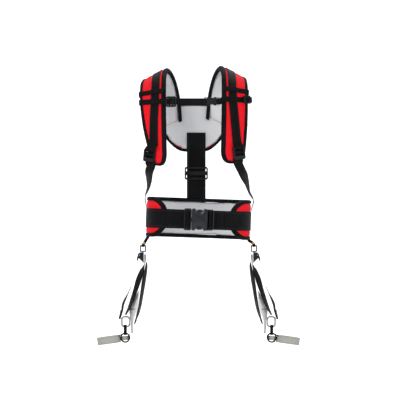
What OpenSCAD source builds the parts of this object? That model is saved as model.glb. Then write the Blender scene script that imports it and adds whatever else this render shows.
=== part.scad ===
/* [Waist belt] */
// Half width of the wearer's waist
waist_w = 124; // [110:1:150]
// Half depth of the wearer's waist
waist_d = 92; // [84:1:115]
// Radius of the waist at its four corners
waist_r = 80; // [60:1:84]
// Height of the padded belt
belt_h = 104; // [80:1:130]
// Gap from the middle of the belly to each tip of the pad, along the body
belt_gap = 78; // [66:1:110]
// Rise of the pad's middle above the webbing's middle
belt_rise = 3; // [0:1:8]
// Sideways tilt of the belt as worn
belt_tilt = 2; // [0:0.5:4]
// Width of the belt webbing
belt_web = 50; // [38:1:60]

/* [Shoulder straps] */
// Thickness of every pad
pad_t = 12; // [8:1:18]
// Width of the binding tape sewn round each pad
bind_w = 9; // [6:1:12]
// Thickness of the webbing
web_t = 1.7; // [1.2:0.1:2.5]
// Width of the shoulder, lower and carry webbing
web_w = 25; // [20:1:30]
// Sideways shift of the shoulders over the hips, as worn
lean = -12; // [-20:1:0]
// Extra height of each shoulder, left then right
shoulder_lift = [0, 6]; // [0:1:12]
// How far each pad's lower end turns in under the arm, left then right
pad_toe = [16, 0]; // [0:1:20]
// Height of the sternum strap above the middle of the belt
sternum_z = 307; // [300:1:314]
// Width of the sternum webbing
sternum_web = 16; // [14:1:20]
// Width of the keeper webbing across each pad
keeper_w = 14; // [10:1:20]

/* [Buckles] */
// Outer height of the waist buckle
waist_buckle_h = 57; // [56:1:70]
// Outer height of the sternum buckle
sternum_buckle_h = 22; // [21:1:28]
// Height of a ladder lock
lock_h = 34; // [30:1:40]

/* [Carry straps] */
// How far each hip ring stands out from the side of the waist
hang_out = 22; // [20:1:30]
// Fore-and-aft place of the carry straps
hang_y = 12; // [5:1:20]
// Drop of the hip ring's bar below the middle of the belt
hang_z = 69; // [66:1:80]
// Length of a cam buckle
cam_len = 28; // [26:1:34]
// Radius of the cam buckle's pin
cam_pin_r = 1.5; // [1.2:0.1:2]
// Width of the hand band
hand_w = 20; // [16:1:26]
// Half length of the hand band's loop, sideways
hand_l = 31; // [26:1:40]
// Half depth of the hand band's loop, fore and aft
hand_d = 24; // [20:1:32]

/* [Fits] */
// Gap kept between soft layers and between pieces that move apart
gap = 0.4; // [0.3:0.05:0.6]
// Radial clearance of a turning fit
run_fit = 0.06; // [0.03:0.01:0.1]

/* [Hidden] */
$fn = 32;
WAIST_FLAT = waist_w - waist_r;
SIDE_FLAT = waist_d - waist_r;
ARC = waist_r * PI / 2;
HALF_RING = 2 * WAIST_FLAT + 2 * ARC + 2 * SIDE_FLAT;
WEB_LO = pad_t + gap;
WEB_HI = WEB_LO + web_t;
OVER_LO = WEB_HI + gap;
OVER_HI = OVER_LO + web_t;
BELT_FACE = waist_d + WEB_HI;
BELT_TOP = belt_h / 2 + belt_rise;
// Pad edges from the lower end, over the shoulder, to the yoke: inner x, y, z, then outer x, y, z
PAD_ROWS = [
    [68, -112, 139, 127, -90, 140], [69, -115, 180, 131, -84, 180], [70, -116, 240, 135, -78, 240],
    [71, -110, 300, 136, -70, 298], [71, -90, 345, 136, -48, 331], [70, -56, 374, 134, -18, 349],
    [65, -12, 387, 128, 12, 355], [56, 32, 383, 118, 46, 349], [46, 68, 362, 106, 76, 328],
    [38, 94, 328, 96, 98, 298], [34, 104, 290, 90, 106, 266], [32, 108, 260, 86, 109, 240]
];
// How much of pad_toe each row takes
TOE_SHARE = [1.1, 1, 0.45, 0.05, 0, 0, 0, 0, 0, 0, 0, 0];
PAD_END = 36;
// Place of the shoulder webbing across the pad, as a share of its width, for each row
WEB_PLACE = [0.68, 0.62, 0.48, 0.38, 0.36, 0.36, 0.38, 0.42, 0.46, 0.5, 0.5, 0.5];
LOCK_AT = [116, -100 - pad_t, 182];
LOCK_TURN = 25;
LOCK_ROLL = 6;
LOCK_T = 6;
BAR = 4;
LOCK_W = web_w + 2 * BAR;
WIRE = 4;
// Middle of the hip ring's upper bar: the carry straps are placed from it
hang_x = waist_w + hang_out;
HOOK_AT = [hang_x + 45.5, -hang_z - 215];
HOOK_W = 24;
HOOK_H = 30;
EYE_AT = [hang_x + 46.5, -hang_z - 242];
EYE_R = 13;
BAND_T = 3;
BAND_LOW = 6;
BAND_DROP = 8;

// ---- curves and sheets ----

function unit(v) = v / norm(v);

// Smooth curve through the rows p: row i and share t of the way to the next
function curve(p, u) =
    let (i = min(floor(u), len(p) - 2), t = u - i)
    let (a = p[max(i - 1, 0)], b = p[i], c = p[i + 1], d = p[min(i + 2, len(p) - 1)])
    0.5 * (2 * b + (c - a) * t + (2 * a - 5 * b + 4 * c - d) * t * t
        + (3 * b - a - 3 * c + d) * t * t * t);

// Six times the volume that the faces close in, below zero where they face outwards
function six_volumes(points, faces) =
    let (parts = [for (f = faces) for (k = [1:len(f) - 2])
        points[f[0]] * cross(points[f[k]], points[f[k + 1]])])
    parts * [for (v = parts) 1];
function reversed(face) = [for (k = [len(face) - 1:-1:0]) face[k]];

// A solid through rings of points, open with two caps, or closed on itself
module skin(rings, loop = false) {
    n = len(rings);
    m = len(rings[0]);
    last = loop ? n - 1 : n - 2;
    sides = [for (i = [0:last]) for (k = [0:m - 1])
        let (a = i * m + k, b = i * m + (k + 1) % m)
        let (c = ((i + 1) % n) * m + (k + 1) % m, d = ((i + 1) % n) * m + k)
        each [[a, b, c], [a, c, d]]];
    caps = loop ? [] : [[for (k = [m - 1:-1:0]) k], [for (k = [0:m - 1]) (n - 1) * m + k]];
    points = [for (r = rings) each r];
    faces = concat(sides, caps);
    outward = six_volumes(points, faces) < 0 ? faces : [for (f = faces) reversed(f)];
    polyhedron(points = points, faces = outward, convexity = 8);
}

// Cross-section of a strap between edge points a and b, from height lo to hi along normal n
function strap_ring(a, b, n, lo, hi) = [a + n * lo, a + n * hi, b + n * hi, b + n * lo];

// Strap along rows of two edges (six numbers each), thickened along its own normal
module strap(rows, lo, hi, steps = 4) {
    count = (len(rows) - 1) * steps;
    skin([for (k = [0:count])
        let (u = k / steps, r = curve(rows, u))
        let (d = curve(rows, min(u + 0.05, len(rows) - 1)) - curve(rows, max(u - 0.05, 0)))
        let (a = [r[0], r[1], r[2]], b = [r[3], r[4], r[5]])
        let (t = [d[0] + d[3], d[1] + d[4], d[2] + d[5]])
        strap_ring(a, b, unit(cross(b - a, t)), lo, hi)]);
}

// Draws for the right side, or mirrored for the left
module side(s) {
    if (s < 0) mirror([1, 0, 0]) children();
    else children();
}

// Moves the shoulders to where they are worn
module shoulder(s) translate([lean, 0, shoulder_lift[s < 0 ? 0 : 1]]) side(s) children();

function round_rect(w, h, r) = [for (q = [0:3]) for (k = [0:5])
    let (a = q * 90 + k * 18)
    [(q == 0 || q == 3 ? 1 : -1) * (w / 2 - r) + r * cos(a),
     (q < 2 ? 1 : -1) * (h / 2 - r) + r * sin(a)]];

// Upright plate in the XZ plane with rounded corners, its middle at y = 0
module plate(w, h, t, r) {
    rotate([90, 0, 0]) linear_extrude(t, center = true) polygon(round_rect(w, h, r));
}

// ---- the waist ring ----

// Point of the waist at distance q along the body from the belly's middle, pushed out by t
function ring_half(q, t) =
    q < WAIST_FLAT ? [q, -waist_d - t]
    : q < WAIST_FLAT + ARC ? ring_corner(q - WAIST_FLAT, WAIST_FLAT, -SIDE_FLAT, -90, t)
    : q < WAIST_FLAT + ARC + 2 * SIDE_FLAT
        ? [waist_w + t, q - WAIST_FLAT - ARC - SIDE_FLAT]
    : q < WAIST_FLAT + 2 * ARC + 2 * SIDE_FLAT
        ? ring_corner(q - WAIST_FLAT - ARC - 2 * SIDE_FLAT, WAIST_FLAT, SIDE_FLAT, 0, t)
    : [HALF_RING - q, waist_d + t];
function ring_corner(q, x, y, start, t) =
    let (a = start + q / waist_r * 180 / PI) [x + (waist_r + t) * cos(a), y + (waist_r + t) * sin(a)];
function ring_at(q, t) =
    let (p = ring_half(abs(q), t)) [q < 0 ? -p[0] : p[0], p[1]];
// q runs on past the back's middle: HALF_RING is the middle of the back
function around(q) = q > HALF_RING ? q - 2 * HALF_RING : q;
function ring_point(q, z, t) = let (p = ring_at(around(q), t)) [p[0], p[1], z];

// Half height of a pad with round ends, at distance e from its tip
function round_end(e, half) = e >= half ? half : half * sqrt(max(0, 1 - pow(1 - e / half, 2)));

module worn_belt() rotate([0, belt_tilt, 0]) children();

module ring_strap(q0, q1, z0, z1, lo, hi, n = 60) {
    skin([for (k = [0:n]) let (q = q0 + (q1 - q0) * k / n)
        [ring_point(q, z0, lo), ring_point(q, z1, lo), ring_point(q, z1, hi), ring_point(q, z0, hi)]]);
}

// Distances along the pad, close together at its rounded tips
function pad_steps(length, half, n_end = 7, n_mid = 44) = concat(
    [for (k = [1:n_end]) half * (1 - cos(90 * k / n_end))],
    [for (k = [1:n_mid]) half + (length - 2 * half) * k / n_mid],
    [for (k = [n_end - 1:-1:1]) length - half * (1 - cos(90 * k / n_end))]);

module belt_pad() {
    half = belt_h / 2 - bind_w;
    q0 = belt_gap + bind_w + gap;
    length = 2 * HALF_RING - 2 * q0;
    color("crimson") worn_belt() skin([for (e = pad_steps(length, half))
        let (h = round_end(min(e, length - e), half) - gap, q = q0 + e)
        [ring_point(q, belt_rise - h, 0), ring_point(q, belt_rise + h, 0),
         ring_point(q, belt_rise + h, pad_t), ring_point(q, belt_rise - h, pad_t)]]);
}

// Outline of the belt pad on the body: distance along and height, once round
function belt_outline(inset) =
    let (half = belt_h / 2 - inset, q0 = belt_gap + inset, q1 = 2 * HALF_RING - q0)
    concat(
        [for (k = [0:12]) let (a = 90 + 180 * k / 12) [q0 + half + half * cos(a), half * sin(a)]],
        [for (k = [1:43]) [q0 + half + (q1 - q0 - 2 * half) * k / 44, -half]],
        [for (k = [0:12]) let (a = -90 + 180 * k / 12) [q1 - half + half * cos(a), half * sin(a)]],
        [for (k = [43:-1:1]) [q0 + half + (q1 - q0 - 2 * half) * k / 44, half]]);

module belt_binding() {
    outer = belt_outline(0);
    inner = belt_outline(bind_w);
    color("#151517") worn_belt() translate([0, 0, belt_rise])
        skin([for (i = [0:len(outer) - 1])
            [ring_point(outer[i][0], outer[i][1], 0), ring_point(outer[i][0], outer[i][1], pad_t),
             ring_point(inner[i][0], inner[i][1], pad_t), ring_point(inner[i][0], inner[i][1], 0)]],
            loop = true);
}

module belt_webbing() {
    color("#151517") worn_belt()
        ring_strap(WEB_FROM, 2 * HALF_RING - WEB_TO, -belt_web / 2, belt_web / 2, WEB_LO, WEB_HI, 72);
}

// The folded-back layer that travels with the buckle's male half
module belt_tail() {
    color("#151517") worn_belt()
        translate([-TAIL_X, -BELT_FACE - gap - web_t, -belt_web / 2]) cube([TAIL_L, web_t, belt_web]);
}

// ---- side-release buckles, mouth at x = 0, housing towards +x, front towards -y ----

BUCKLE_WALL = 1.8;
function housing_l(h) = 0.5 * h + 11;
function bars_l(h) = 0.28 * h + 3;
function buckle_t(h) = 0.15 * h + 4.6;
WAIST_MOUTH = 18;
// The webbing starts under the housing's bars and ends under the male half's bars
WEB_FROM = housing_l(waist_buckle_h) + bars_l(waist_buckle_h) / 2 - WAIST_MOUTH;
WEB_TO = WAIST_MOUTH + bars_l(waist_buckle_h) / 2;
TAIL_X = 80;
TAIL_L = 46;

module housing(h) {
    l = housing_l(h);
    b = bars_l(h);
    t = buckle_t(h);
    r = h * 0.09;
    difference() {
        union() {
            translate([l / 2, 0, 0]) plate(l, h, t, r);
            translate([l + b / 2 - r, 0, 0]) plate(b + 2 * r, h * 0.96, t * 0.7, h * 0.12);
        }
        translate([-1, BUCKLE_WALL - t / 2, BUCKLE_WALL - h / 2])
            cube([l - BUCKLE_WALL, t - 2 * BUCKLE_WALL, h - 2 * BUCKLE_WALL]);
        for (s = [-1, 1]) translate([l * 0.52, 0, s * h * 0.53]) rotate([90, 0, 0])
            cylinder(h = t + 2, r = h * 0.2, center = true);
        for (x = [l + b * 0.12, l + b * 0.56])
            translate([x, -t, -h * 0.44]) cube([b * 0.26, 2 * t, h * 0.88]);
    }
}

// Fixed middle of the male half: the ladder plate and the guide tongue
module male(h) {
    b = bars_l(h);
    t = buckle_t(h) - 2 * BUCKLE_WALL - 2 * gap;
    tongue = housing_l(h) * 0.62;
    difference() {
        union() {
            translate([-b / 2 - gap, 0, 0]) plate(b, h, t, h * 0.07);
            translate([tongue / 2 - 2, 0, 0]) plate(tongue + 4, h * 0.22, t, h * 0.05);
        }
        for (x = [-b * 0.44, -b * 0.85])
            translate([x, -t, -h * 0.44]) cube([b * 0.2, 2 * t, h * 0.88]);
    }
}

PRONG_FREE = 0.7;
// One springy prong above the tongue; its root turns at x = 0
module prong(h) {
    l = housing_l(h) * 0.74;
    t = buckle_t(h) - 2 * BUCKLE_WALL - 2 * gap;
    z = prong_z(h);
    w = h * 0.075;
    rotate([90, 0, 0]) linear_extrude(t, center = true) polygon([
        [PRONG_FREE, z - w], [l * 0.85, z - w], [l, z + w * 0.4], [l * 0.8, h / 2 - BUCKLE_WALL - gap],
        [l * 0.55, h / 2 - BUCKLE_WALL - gap], [l * 0.45, z + w], [PRONG_FREE, z + w]]);
}
function prong_z(h) = h * 0.27;

module waist_place() {
    worn_belt() translate([-WAIST_MOUTH, -BELT_FACE - 2 * gap - web_t - buckle_t(waist_buckle_h) / 2, 0])
        children();
}
module waist_buckle_female() color("#26262a") waist_place() housing(waist_buckle_h);
module waist_buckle_male() color("#1d1d20") waist_place() male(waist_buckle_h);
module waist_prong_upper() color("#1d1d20") waist_place() prong(waist_buckle_h);
module waist_prong_lower() color("#1d1d20") waist_place() mirror([0, 0, 1]) prong(waist_buckle_h);

// ---- shoulder straps ----

function pad_row(s, i) =
    let (r = PAD_ROWS[i], toe = pad_toe[s < 0 ? 0 : 1] * TOE_SHARE[i])
    [r[0], r[1], r[2], r[3] - toe, r[4] - toe * 0.5, r[5]];
function pad_rows(s) = [for (i = [0:len(PAD_ROWS) - 1]) pad_row(s, i)];

// Point of a pad: u rows up from the lower end, share f across, height t above the body
function pad_frame(rows, u) =
    let (r = curve(rows, u))
    let (d = curve(rows, min(u + 0.05, len(rows) - 1)) - curve(rows, max(u - 0.05, 0)))
    let (a = [r[0], r[1], r[2]], b = [r[3], r[4], r[5]])
    let (t = [d[0] + d[3], d[1] + d[4], d[2] + d[5]])
    [a, b - a, unit(cross(b - a, t))];
function pad_point(rows, u, f, t) = let (p = pad_frame(rows, u)) p[0] + p[1] * f + p[2] * t;
function pad_width(rows, u) = norm(pad_frame(rows, u)[1]);
ROW_STEP = 41;
TOP_U = len(PAD_ROWS) - 1;

// Share of the half width that a pad with a round lower end has at u
function pad_half(u, inset) =
    let (e = u * ROW_STEP - inset) round_end(max(e, 0), PAD_END - inset) / (PAD_END - inset);

function pad_us(inset) = concat(
    [for (k = [1:6]) (inset + (PAD_END - inset) * (1 - cos(15 * k))) / ROW_STEP],
    [for (k = [1:40]) let (u0 = PAD_END / ROW_STEP) u0 + (TOP_U - u0) * k / 40]);

module shoulder_pad(s) {
    rows = pad_rows(s);
    color("crimson") shoulder(s) skin([for (u = pad_us(bind_w + gap))
        let (w = pad_width(rows, u), m = 0.5 - (bind_w + gap) / w)
        let (h = m * pad_half(u, bind_w + gap))
        [pad_point(rows, u, 0.5 - h, 0), pad_point(rows, u, 0.5 - h, pad_t),
         pad_point(rows, u, 0.5 + h, pad_t), pad_point(rows, u, 0.5 + h, 0)]]);
}

// Edge points of the binding, from the top of one edge, round the lower end, up the other
function binding_edge(rows, inset, sign) = [for (u = pad_us(inset))
    [u, 0.5 + sign * (0.5 - inset / pad_width(rows, u)) * pad_half(u, inset)]];

module shoulder_binding(s) {
    rows = pad_rows(s);
    outer = concat([for (k = [46:-1:1]) binding_edge(rows, 0, -1)[k - 1]], [[0.004, 0.5]],
        binding_edge(rows, 0, 1));
    inner = concat([for (k = [46:-1:1]) binding_edge(rows, bind_w, -1)[k - 1]],
        [[bind_w / ROW_STEP + 0.004, 0.5]], binding_edge(rows, bind_w, 1));
    color("#151517") shoulder(s) skin([for (i = [0:len(outer) - 1])
        [pad_point(rows, outer[i][0], outer[i][1], 0), pad_point(rows, inner[i][0], inner[i][1], 0),
         pad_point(rows, inner[i][0], inner[i][1], pad_t),
         pad_point(rows, outer[i][0], outer[i][1], pad_t)]]);
}

function place_at(u) = let (i = min(floor(u), len(WEB_PLACE) - 2))
    WEB_PLACE[i] + (WEB_PLACE[i + 1] - WEB_PLACE[i]) * (u - i);
WEB_LOW_U = 1.22;
module shoulder_webbing(s) {
    rows = pad_rows(s);
    color("#151517") shoulder(s) skin([for (k = [0:44])
        let (u = WEB_LOW_U + (TOP_U - 0.2 - WEB_LOW_U) * k / 44)
        let (f = place_at(u), h = web_w / 2 / pad_width(rows, u))
        [pad_point(rows, u, f - h, WEB_LO), pad_point(rows, u, f - h, WEB_HI),
         pad_point(rows, u, f + h, WEB_HI), pad_point(rows, u, f + h, WEB_LO)]]);
}

// Webbing sewn across the pad over the shoulder webbing, with its middle at row u
module keeper(s, u, start = 0.02) {
    rows = pad_rows(s);
    du = keeper_w / 2 / ROW_STEP;
    shoulder(s) skin([for (k = [0:10]) let (f = start + (0.98 - start) * k / 10)
        [pad_point(rows, u - du, f, OVER_LO), pad_point(rows, u + du, f, OVER_LO),
         pad_point(rows, u + du, f, OVER_HI), pad_point(rows, u - du, f, OVER_HI)]]);
}
KEEPER_U = 3.62;
STERNUM_U = 3.08;
module pad_keepers() color("#151517") for (s = [-1, 1]) keeper(s, KEEPER_U);
module sternum_keeper(s) color("#151517") keeper(s, STERNUM_U, s < 0 ? -0.02 : -0.08);

// ---- yoke and spine ----

// Side edges of the yoke, its depth counted from the body at the shoulder pads' inner face
YOKE_ROWS = [
    [-46, 111, 176, 46, 111, 176], [-70, 115, 205, 70, 115, 205], [-92, 113, 240, 92, 113, 240],
    [-98, 110, 275, 98, 110, 275], [-70, 105, 306, 70, 105, 306]
];
YOKE_T = 8;
module back_yoke() {
    color("crimson") translate([lean, pad_t, 3]) strap(YOKE_ROWS, -YOKE_T, 0, 5);
}

// Spine webbing: width, then height and depth of its middle from the yoke to the belt
SPINE_W = 50;
SPINE_LOW = BELT_FACE + gap + web_t / 2 + 0.25;
SPINE_Y = SPINE_LOW + 7.4;
SPINE_PATH = [[230, 105 + pad_t], [175, SPINE_Y], [140, SPINE_Y], [100, SPINE_Y],
    [BELT_TOP + 25, SPINE_Y - 1], [BELT_TOP - 1, SPINE_LOW + 0.4], [belt_web / 2 + 5, SPINE_LOW]];
module spine_strap() {
    rows = [for (p = SPINE_PATH) [-SPINE_W / 2, p[1], p[0], SPINE_W / 2, p[1], p[0]]];
    color("#151517") translate([lean / 2, 0, 0]) strap(rows, -web_t / 2, web_t / 2, 4);
}
SPINE_ADJ_Z = 122;
// Sliding adjuster round the spine webbing
module spine_adjuster() {
    color("#26262a") translate([lean / 2, SPINE_Y, SPINE_ADJ_Z]) difference() {
        plate(SPINE_W + 12, 34, 9, 5);
        cube([SPINE_W + 4, web_t + 2.6, 60], center = true);
        for (z = [-8.5, 8.5]) translate([0, 0, z]) cube([SPINE_W + 4, 20, 7], center = true);
    }
}

// ---- sternum strap ----

STERNUM_Y = -116.5 - pad_t;
STERNUM_MOUTH = 24;
SLIDER_X = -71;
STERNUM_END = STERNUM_MOUTH - bars_l(sternum_buckle_h) + 2;
module sternum_place() {
    translate([STERNUM_MOUTH, STERNUM_Y - buckle_t(sternum_buckle_h) / 2 + 1.2, sternum_z]) children();
}
module sternum_buckle_female() color("#26262a") sternum_place() housing(sternum_buckle_h);
module sternum_buckle_male() color("#1d1d20") sternum_place() male(sternum_buckle_h);
module sternum_prong_upper() color("#1d1d20") sternum_place() prong(sternum_buckle_h);
module sternum_prong_lower() color("#1d1d20") sternum_place() mirror([0, 0, 1]) prong(sternum_buckle_h);
module sternum_webbing() {
    color("#151517") translate([SLIDER_X + 4, STERNUM_Y + 1.6, sternum_z - sternum_web / 2])
        cube([STERNUM_END - SLIDER_X - 4, web_t, sternum_web]);
}
module sternum_slider() {
    color("#26262a") translate([SLIDER_X, STERNUM_Y - 1, sternum_z - 1]) difference() {
        plate(28, 28, 5, 6);
        for (x = [-8, 0, 8]) translate([x, 0, 0]) cube([4, 20, sternum_web + 1.5], center = true);
    }
}
TRIGLIDE_T = 4;
// Lies flat on the sternum keeper near the right pad's outer edge
module sternum_triglide() {
    rows = pad_rows(1);
    frame = pad_frame(rows, STERNUM_U);
    x = unit(frame[1]);
    y = -frame[2];
    z = cross(x, y);
    at = pad_point(rows, STERNUM_U, 0.9, OVER_HI + gap + TRIGLIDE_T / 2);
    color("#26262a") shoulder(1)
        multmatrix([[x[0], y[0], z[0], at[0]], [x[1], y[1], z[1], at[1]], [x[2], y[2], z[2], at[2]],
            [0, 0, 0, 1]])
            difference() {
                plate(20, 22, TRIGLIDE_T, 3);
                for (x = [-4.5, 4.5]) translate([x, 0, 0]) cube([4.5, 20, 16], center = true);
            }
}

// ---- ladder locks and lower straps ----

module lock_place(s) {
    shoulder(s) translate([LOCK_AT[0] - pad_toe[s < 0 ? 0 : 1] * 0.15, LOCK_AT[1], LOCK_AT[2]])
        rotate([0, 0, LOCK_TURN]) rotate([0, -LOCK_ROLL, 0]) children();
}
// Turns about its top bar, which is at its own origin
module ladder_lock(s) {
    slot = LOCK_W - 2 * BAR;
    color("#26262a") lock_place(s) union() {
        difference() {
            translate([0, 0, -lock_h / 2 + BAR / 2]) plate(LOCK_W, lock_h, LOCK_T, 5);
            for (z = [-7, -18.5])
                translate([0, 0, z]) cube([slot, 3 * LOCK_T, 7], center = true);
            translate([0, 0, -12.7]) cube([slot, 3 * LOCK_T, 4], center = true);
        }
        translate([0, -1, -12.7]) rotate([0, 90, 0]) cylinder(h = slot + 2, r = 1.9, center = true);
    }
}

// Edges of the lower strap from the ladder lock round to the side of the belt, 25 wide
function lower_rows(s) =
    let (i = s < 0 ? 0 : 1, dx = (lean * s), dz = shoulder_lift[i], toe = pad_toe[i])
    let (drop = -s * sin(belt_tilt) * waist_w, rim = belt_web / 2 + 4 + drop)
    let (side_x = waist_w + pad_t, x5 = side_x + 6 + s * sin(belt_tilt) * BELT_TOP,
        x6 = side_x + 2.4 + s * sin(belt_tilt) * rim)
    [[101 + dx - 0.2 * toe, -109 - pad_t, 144 + dz, 125 + dx - 0.2 * toe, -98 - pad_t, 146 + dz],
     [112 + dx * 0.6, -92 - pad_t, 122, 131 + dx * 0.6, -74 - pad_t, 125],
     [123 + dx * 0.2, -66, 98, 133 + dx * 0.2, -44, 103],
     [waist_w + 8, -34, BELT_TOP + 21 + drop, waist_w + 12, -8, BELT_TOP + 24 + drop],
     [x5, -6, BELT_TOP - 1 + drop, x5, 19, BELT_TOP + drop],
     [x6, 6, rim, x6, 31, rim]];
// The same row of two edges, its width times share
function widened(r, share) =
    let (a = [r[0], r[1], r[2]], b = [r[3], r[4], r[5]], m = (a + b) / 2)
    concat(m + (a - m) * share, m + (b - m) * share);
module lower_strap(s) {
    color("#151517") side(s) strap([for (r = lower_rows(s)) widened(r, web_w / 25)], 0, web_t, 5);
}

// ---- hip loops and carry straps ----

module hang(s) side(s) translate([0, hang_y, 0]) children();

LOOP_W = 8;
RING_BAR = 3.2;
LOOP_BORE = RING_BAR * 0.71 + gap;
LOOP_R = LOOP_BORE + web_t;
LOOP_FOOT = [waist_w + 4, waist_w + 4 + LOOP_W];
// Flat shape in the XZ plane, w thick
module flat(points, w) rotate([90, 0, 0]) linear_extrude(w, center = true) polygon(points);
// Round bar or hole along x through the ring's upper bar
module loop_round(r, w) translate([hang_x, 0, -hang_z]) rotate([0, 90, 0])
    cylinder(h = w, r = r, center = true);
// A loop of tape from the belt's lower edge round the ring's upper bar
module hip_loop(s) {
    top = -belt_h / 2 + belt_rise - s * sin(belt_tilt) * waist_w - gap;
    color("#151517") hang(s) difference() {
        union() {
            loop_round(LOOP_R, LOOP_W);
            flat([[hang_x - LOOP_W / 2, -hang_z], [hang_x + LOOP_W / 2, -hang_z],
                [LOOP_FOOT[1], top], [LOOP_FOOT[0], top]], 2 * web_t);
        }
        loop_round(LOOP_BORE, 3 * LOOP_W);
    }
}

RIVET_R = 3;
RIVET_T = 1.2;
module hip_rivets() {
    color("#b5762c") for (s = [-1, 1]) hang(s)
        translate([hang_x - 2.4, -web_t - RIVET_T / 2, -hang_z + LOOP_R + RIVET_R]) rotate([90, 0, 0])
            cylinder(h = RIVET_T, r = RIVET_R, center = true);
}

RING_W = 14;
RING_H = 15;
// Flat steel ring: its upper bar runs through the hip loop, its lower bar holds the cam buckle
module hip_ring(s) {
    color("#2b2b2e") hang(s) translate([hang_x, 0, -hang_z - RING_H / 2])
        difference() {
            plate(RING_W + RING_BAR, RING_H + RING_BAR, RING_BAR, 3.4);
            plate(RING_W - RING_BAR, RING_H - RING_BAR, 2 * RING_BAR, 1.2);
        }
}

CAM_TOP = hang_z + RING_H + RING_BAR / 2 + gap;
CAM_W = web_w + 9;
PIN_AT = [hang_x + 9, -CAM_TOP - 8];
EAR = 2;
// Channel with two ears; the webbing runs down its back
module cam_frame(s) {
    color("#1a1a1c") hang(s) difference() {
        union() {
            translate([hang_x - 2, -CAM_W / 2, -CAM_TOP - cam_len]) cube([2, CAM_W, cam_len]);
            for (y = [-1, 1]) translate([0, y * (CAM_W / 2 - EAR / 2), 0])
                flat([[hang_x - 2, -CAM_TOP], [PIN_AT[0], -CAM_TOP - 1], [PIN_AT[0] + 5, -CAM_TOP - 6],
                    [PIN_AT[0] + 4, -CAM_TOP - 14], [hang_x - 2, -CAM_TOP - cam_len]], EAR);
        }
        translate([PIN_AT[0], 0, PIN_AT[1]]) rotate([90, 0, 0])
            cylinder(h = 2 * CAM_W, r = cam_pin_r, center = true);
    }
}
module cam_pin(s) {
    color("silver") hang(s) translate([PIN_AT[0], 0, PIN_AT[1]]) rotate([90, 0, 0])
        cylinder(h = CAM_W + 2, r = cam_pin_r, center = true);
}
LEVER_W = CAM_W - 2 * EAR - 2 * gap;
module cam_lever(s) {
    color("#26262a") hang(s) difference() {
        union() {
            translate([PIN_AT[0], 0, PIN_AT[1]]) rotate([90, 0, 0])
                cylinder(h = LEVER_W, r = 5, center = true);
            flat([[PIN_AT[0] + 1, PIN_AT[1] + 4.8], [PIN_AT[0] + 6, PIN_AT[1] - 4],
                [PIN_AT[0] + 7.5, PIN_AT[1] - 14], [PIN_AT[0] + 5, PIN_AT[1] - 15],
                [PIN_AT[0] + 1, PIN_AT[1] - 4.8]], LEVER_W);
        }
        translate([PIN_AT[0], 0, PIN_AT[1]]) rotate([90, 0, 0])
            cylinder(h = 2 * CAM_W, r = cam_pin_r + run_fit, center = true);
    }
}

// Carry webbing: its middle's x and z from the ring's bar, and the turn of its face from sideways
module hanging_strap(path, w, turn, t = web_t) {
    rows = [for (i = [0:len(path) - 1])
        let (a = turn[i], dx = w / 2 * sin(a), dy = w / 2 * cos(a))
        [path[i][0] - dx, -dy, path[i][1], path[i][0] + dx, dy, path[i][1]]];
    translate([hang_x, 0, -hang_z]) strap(rows, -t / 2, t / 2, 4);
}
DROP_PATH = [[-1, -23], [-1, -35], [-0.5, -49], [6, -66], [14, -88], [22, -114], [31, -140],
    [41, -166], [49.5, -182]];
DROP_TURN = [0, 0, 2, 26, 36, 30, 24, 16, 8];
module drop_strap(s) {
    color("#151517") hang(s) translate([-web_t / 2 - gap - 2, 0, 0])
        hanging_strap(DROP_PATH, web_w, DROP_TURN);
}
RETURN_PATH = [[-6.5, -23], [-7.5, -39], [-9, -54], [-3, -88], [1, -114], [5, -140], [10, -166],
    [17, -190], [22, -206]];
RETURN_TURN = [0, 0, 12, 24, 22, 20, 18, 12, 6];
module return_strap(s) {
    color("#3c3c38") hang(s) hanging_strap(RETURN_PATH, web_w, RETURN_TURN);
}
SLING_PATH = [[11, -119], [17, -141], [25, -166], [28.5, -186], [29, -206], [28, -231]];
SLING_TURN = [2, 28, 52, 30, 15, 12];
module load_sling(s) {
    color("#e2e2dc") hang(s) hanging_strap(SLING_PATH, web_w, SLING_TURN);
}
TAIL_PATH = [[27, -107], [35, -125], [43, -141], [48.5, -155], [51, -171], [57, -193]];
TAIL_TURN = [0, 4, 20, 22, 18, 10];
module strap_tail(s) {
    color("#151517") hang(s) translate([4, 0, 0]) hanging_strap(TAIL_PATH, web_w * 0.6, TAIL_TURN);
}

// Steel snap hook in the XZ plane, its lower bar at HOOK_AT
module hook_outline(inset = 0) {
    polygon(round_rect(HOOK_W - 2 * inset, HOOK_H - 2 * inset, 9 - inset));
}
GATE_TOP = 7;
GATE_LOW = -7;
GATE_T = WIRE - 0.8;
GATE_GAP = 0.9;
module steel_hook(s) {
    color("silver") hang(s) translate([HOOK_AT[0], 0, HOOK_AT[1] + HOOK_H / 2]) {
        difference() {
            rotate([90, 0, 0]) linear_extrude(WIRE, center = true) difference() {
                hook_outline();
                hook_outline(WIRE);
            }
            translate([-HOOK_W / 2 - 1, -WIRE, GATE_LOW]) cube([WIRE + 2, 2 * WIRE, GATE_TOP - GATE_LOW]);
        }
    }
}
// Turns about its lower end
module hook_gate(s) {
    color("lightgray") hang(s)
        translate([HOOK_AT[0] - HOOK_W / 2 + WIRE / 2, 0, HOOK_AT[1] + HOOK_H / 2])
        translate([0, 0, (GATE_TOP + GATE_LOW) / 2])
            cube([GATE_T, GATE_T, GATE_TOP - GATE_LOW - 2 * GATE_GAP], center = true);
}

LINK_W = 8;
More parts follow.
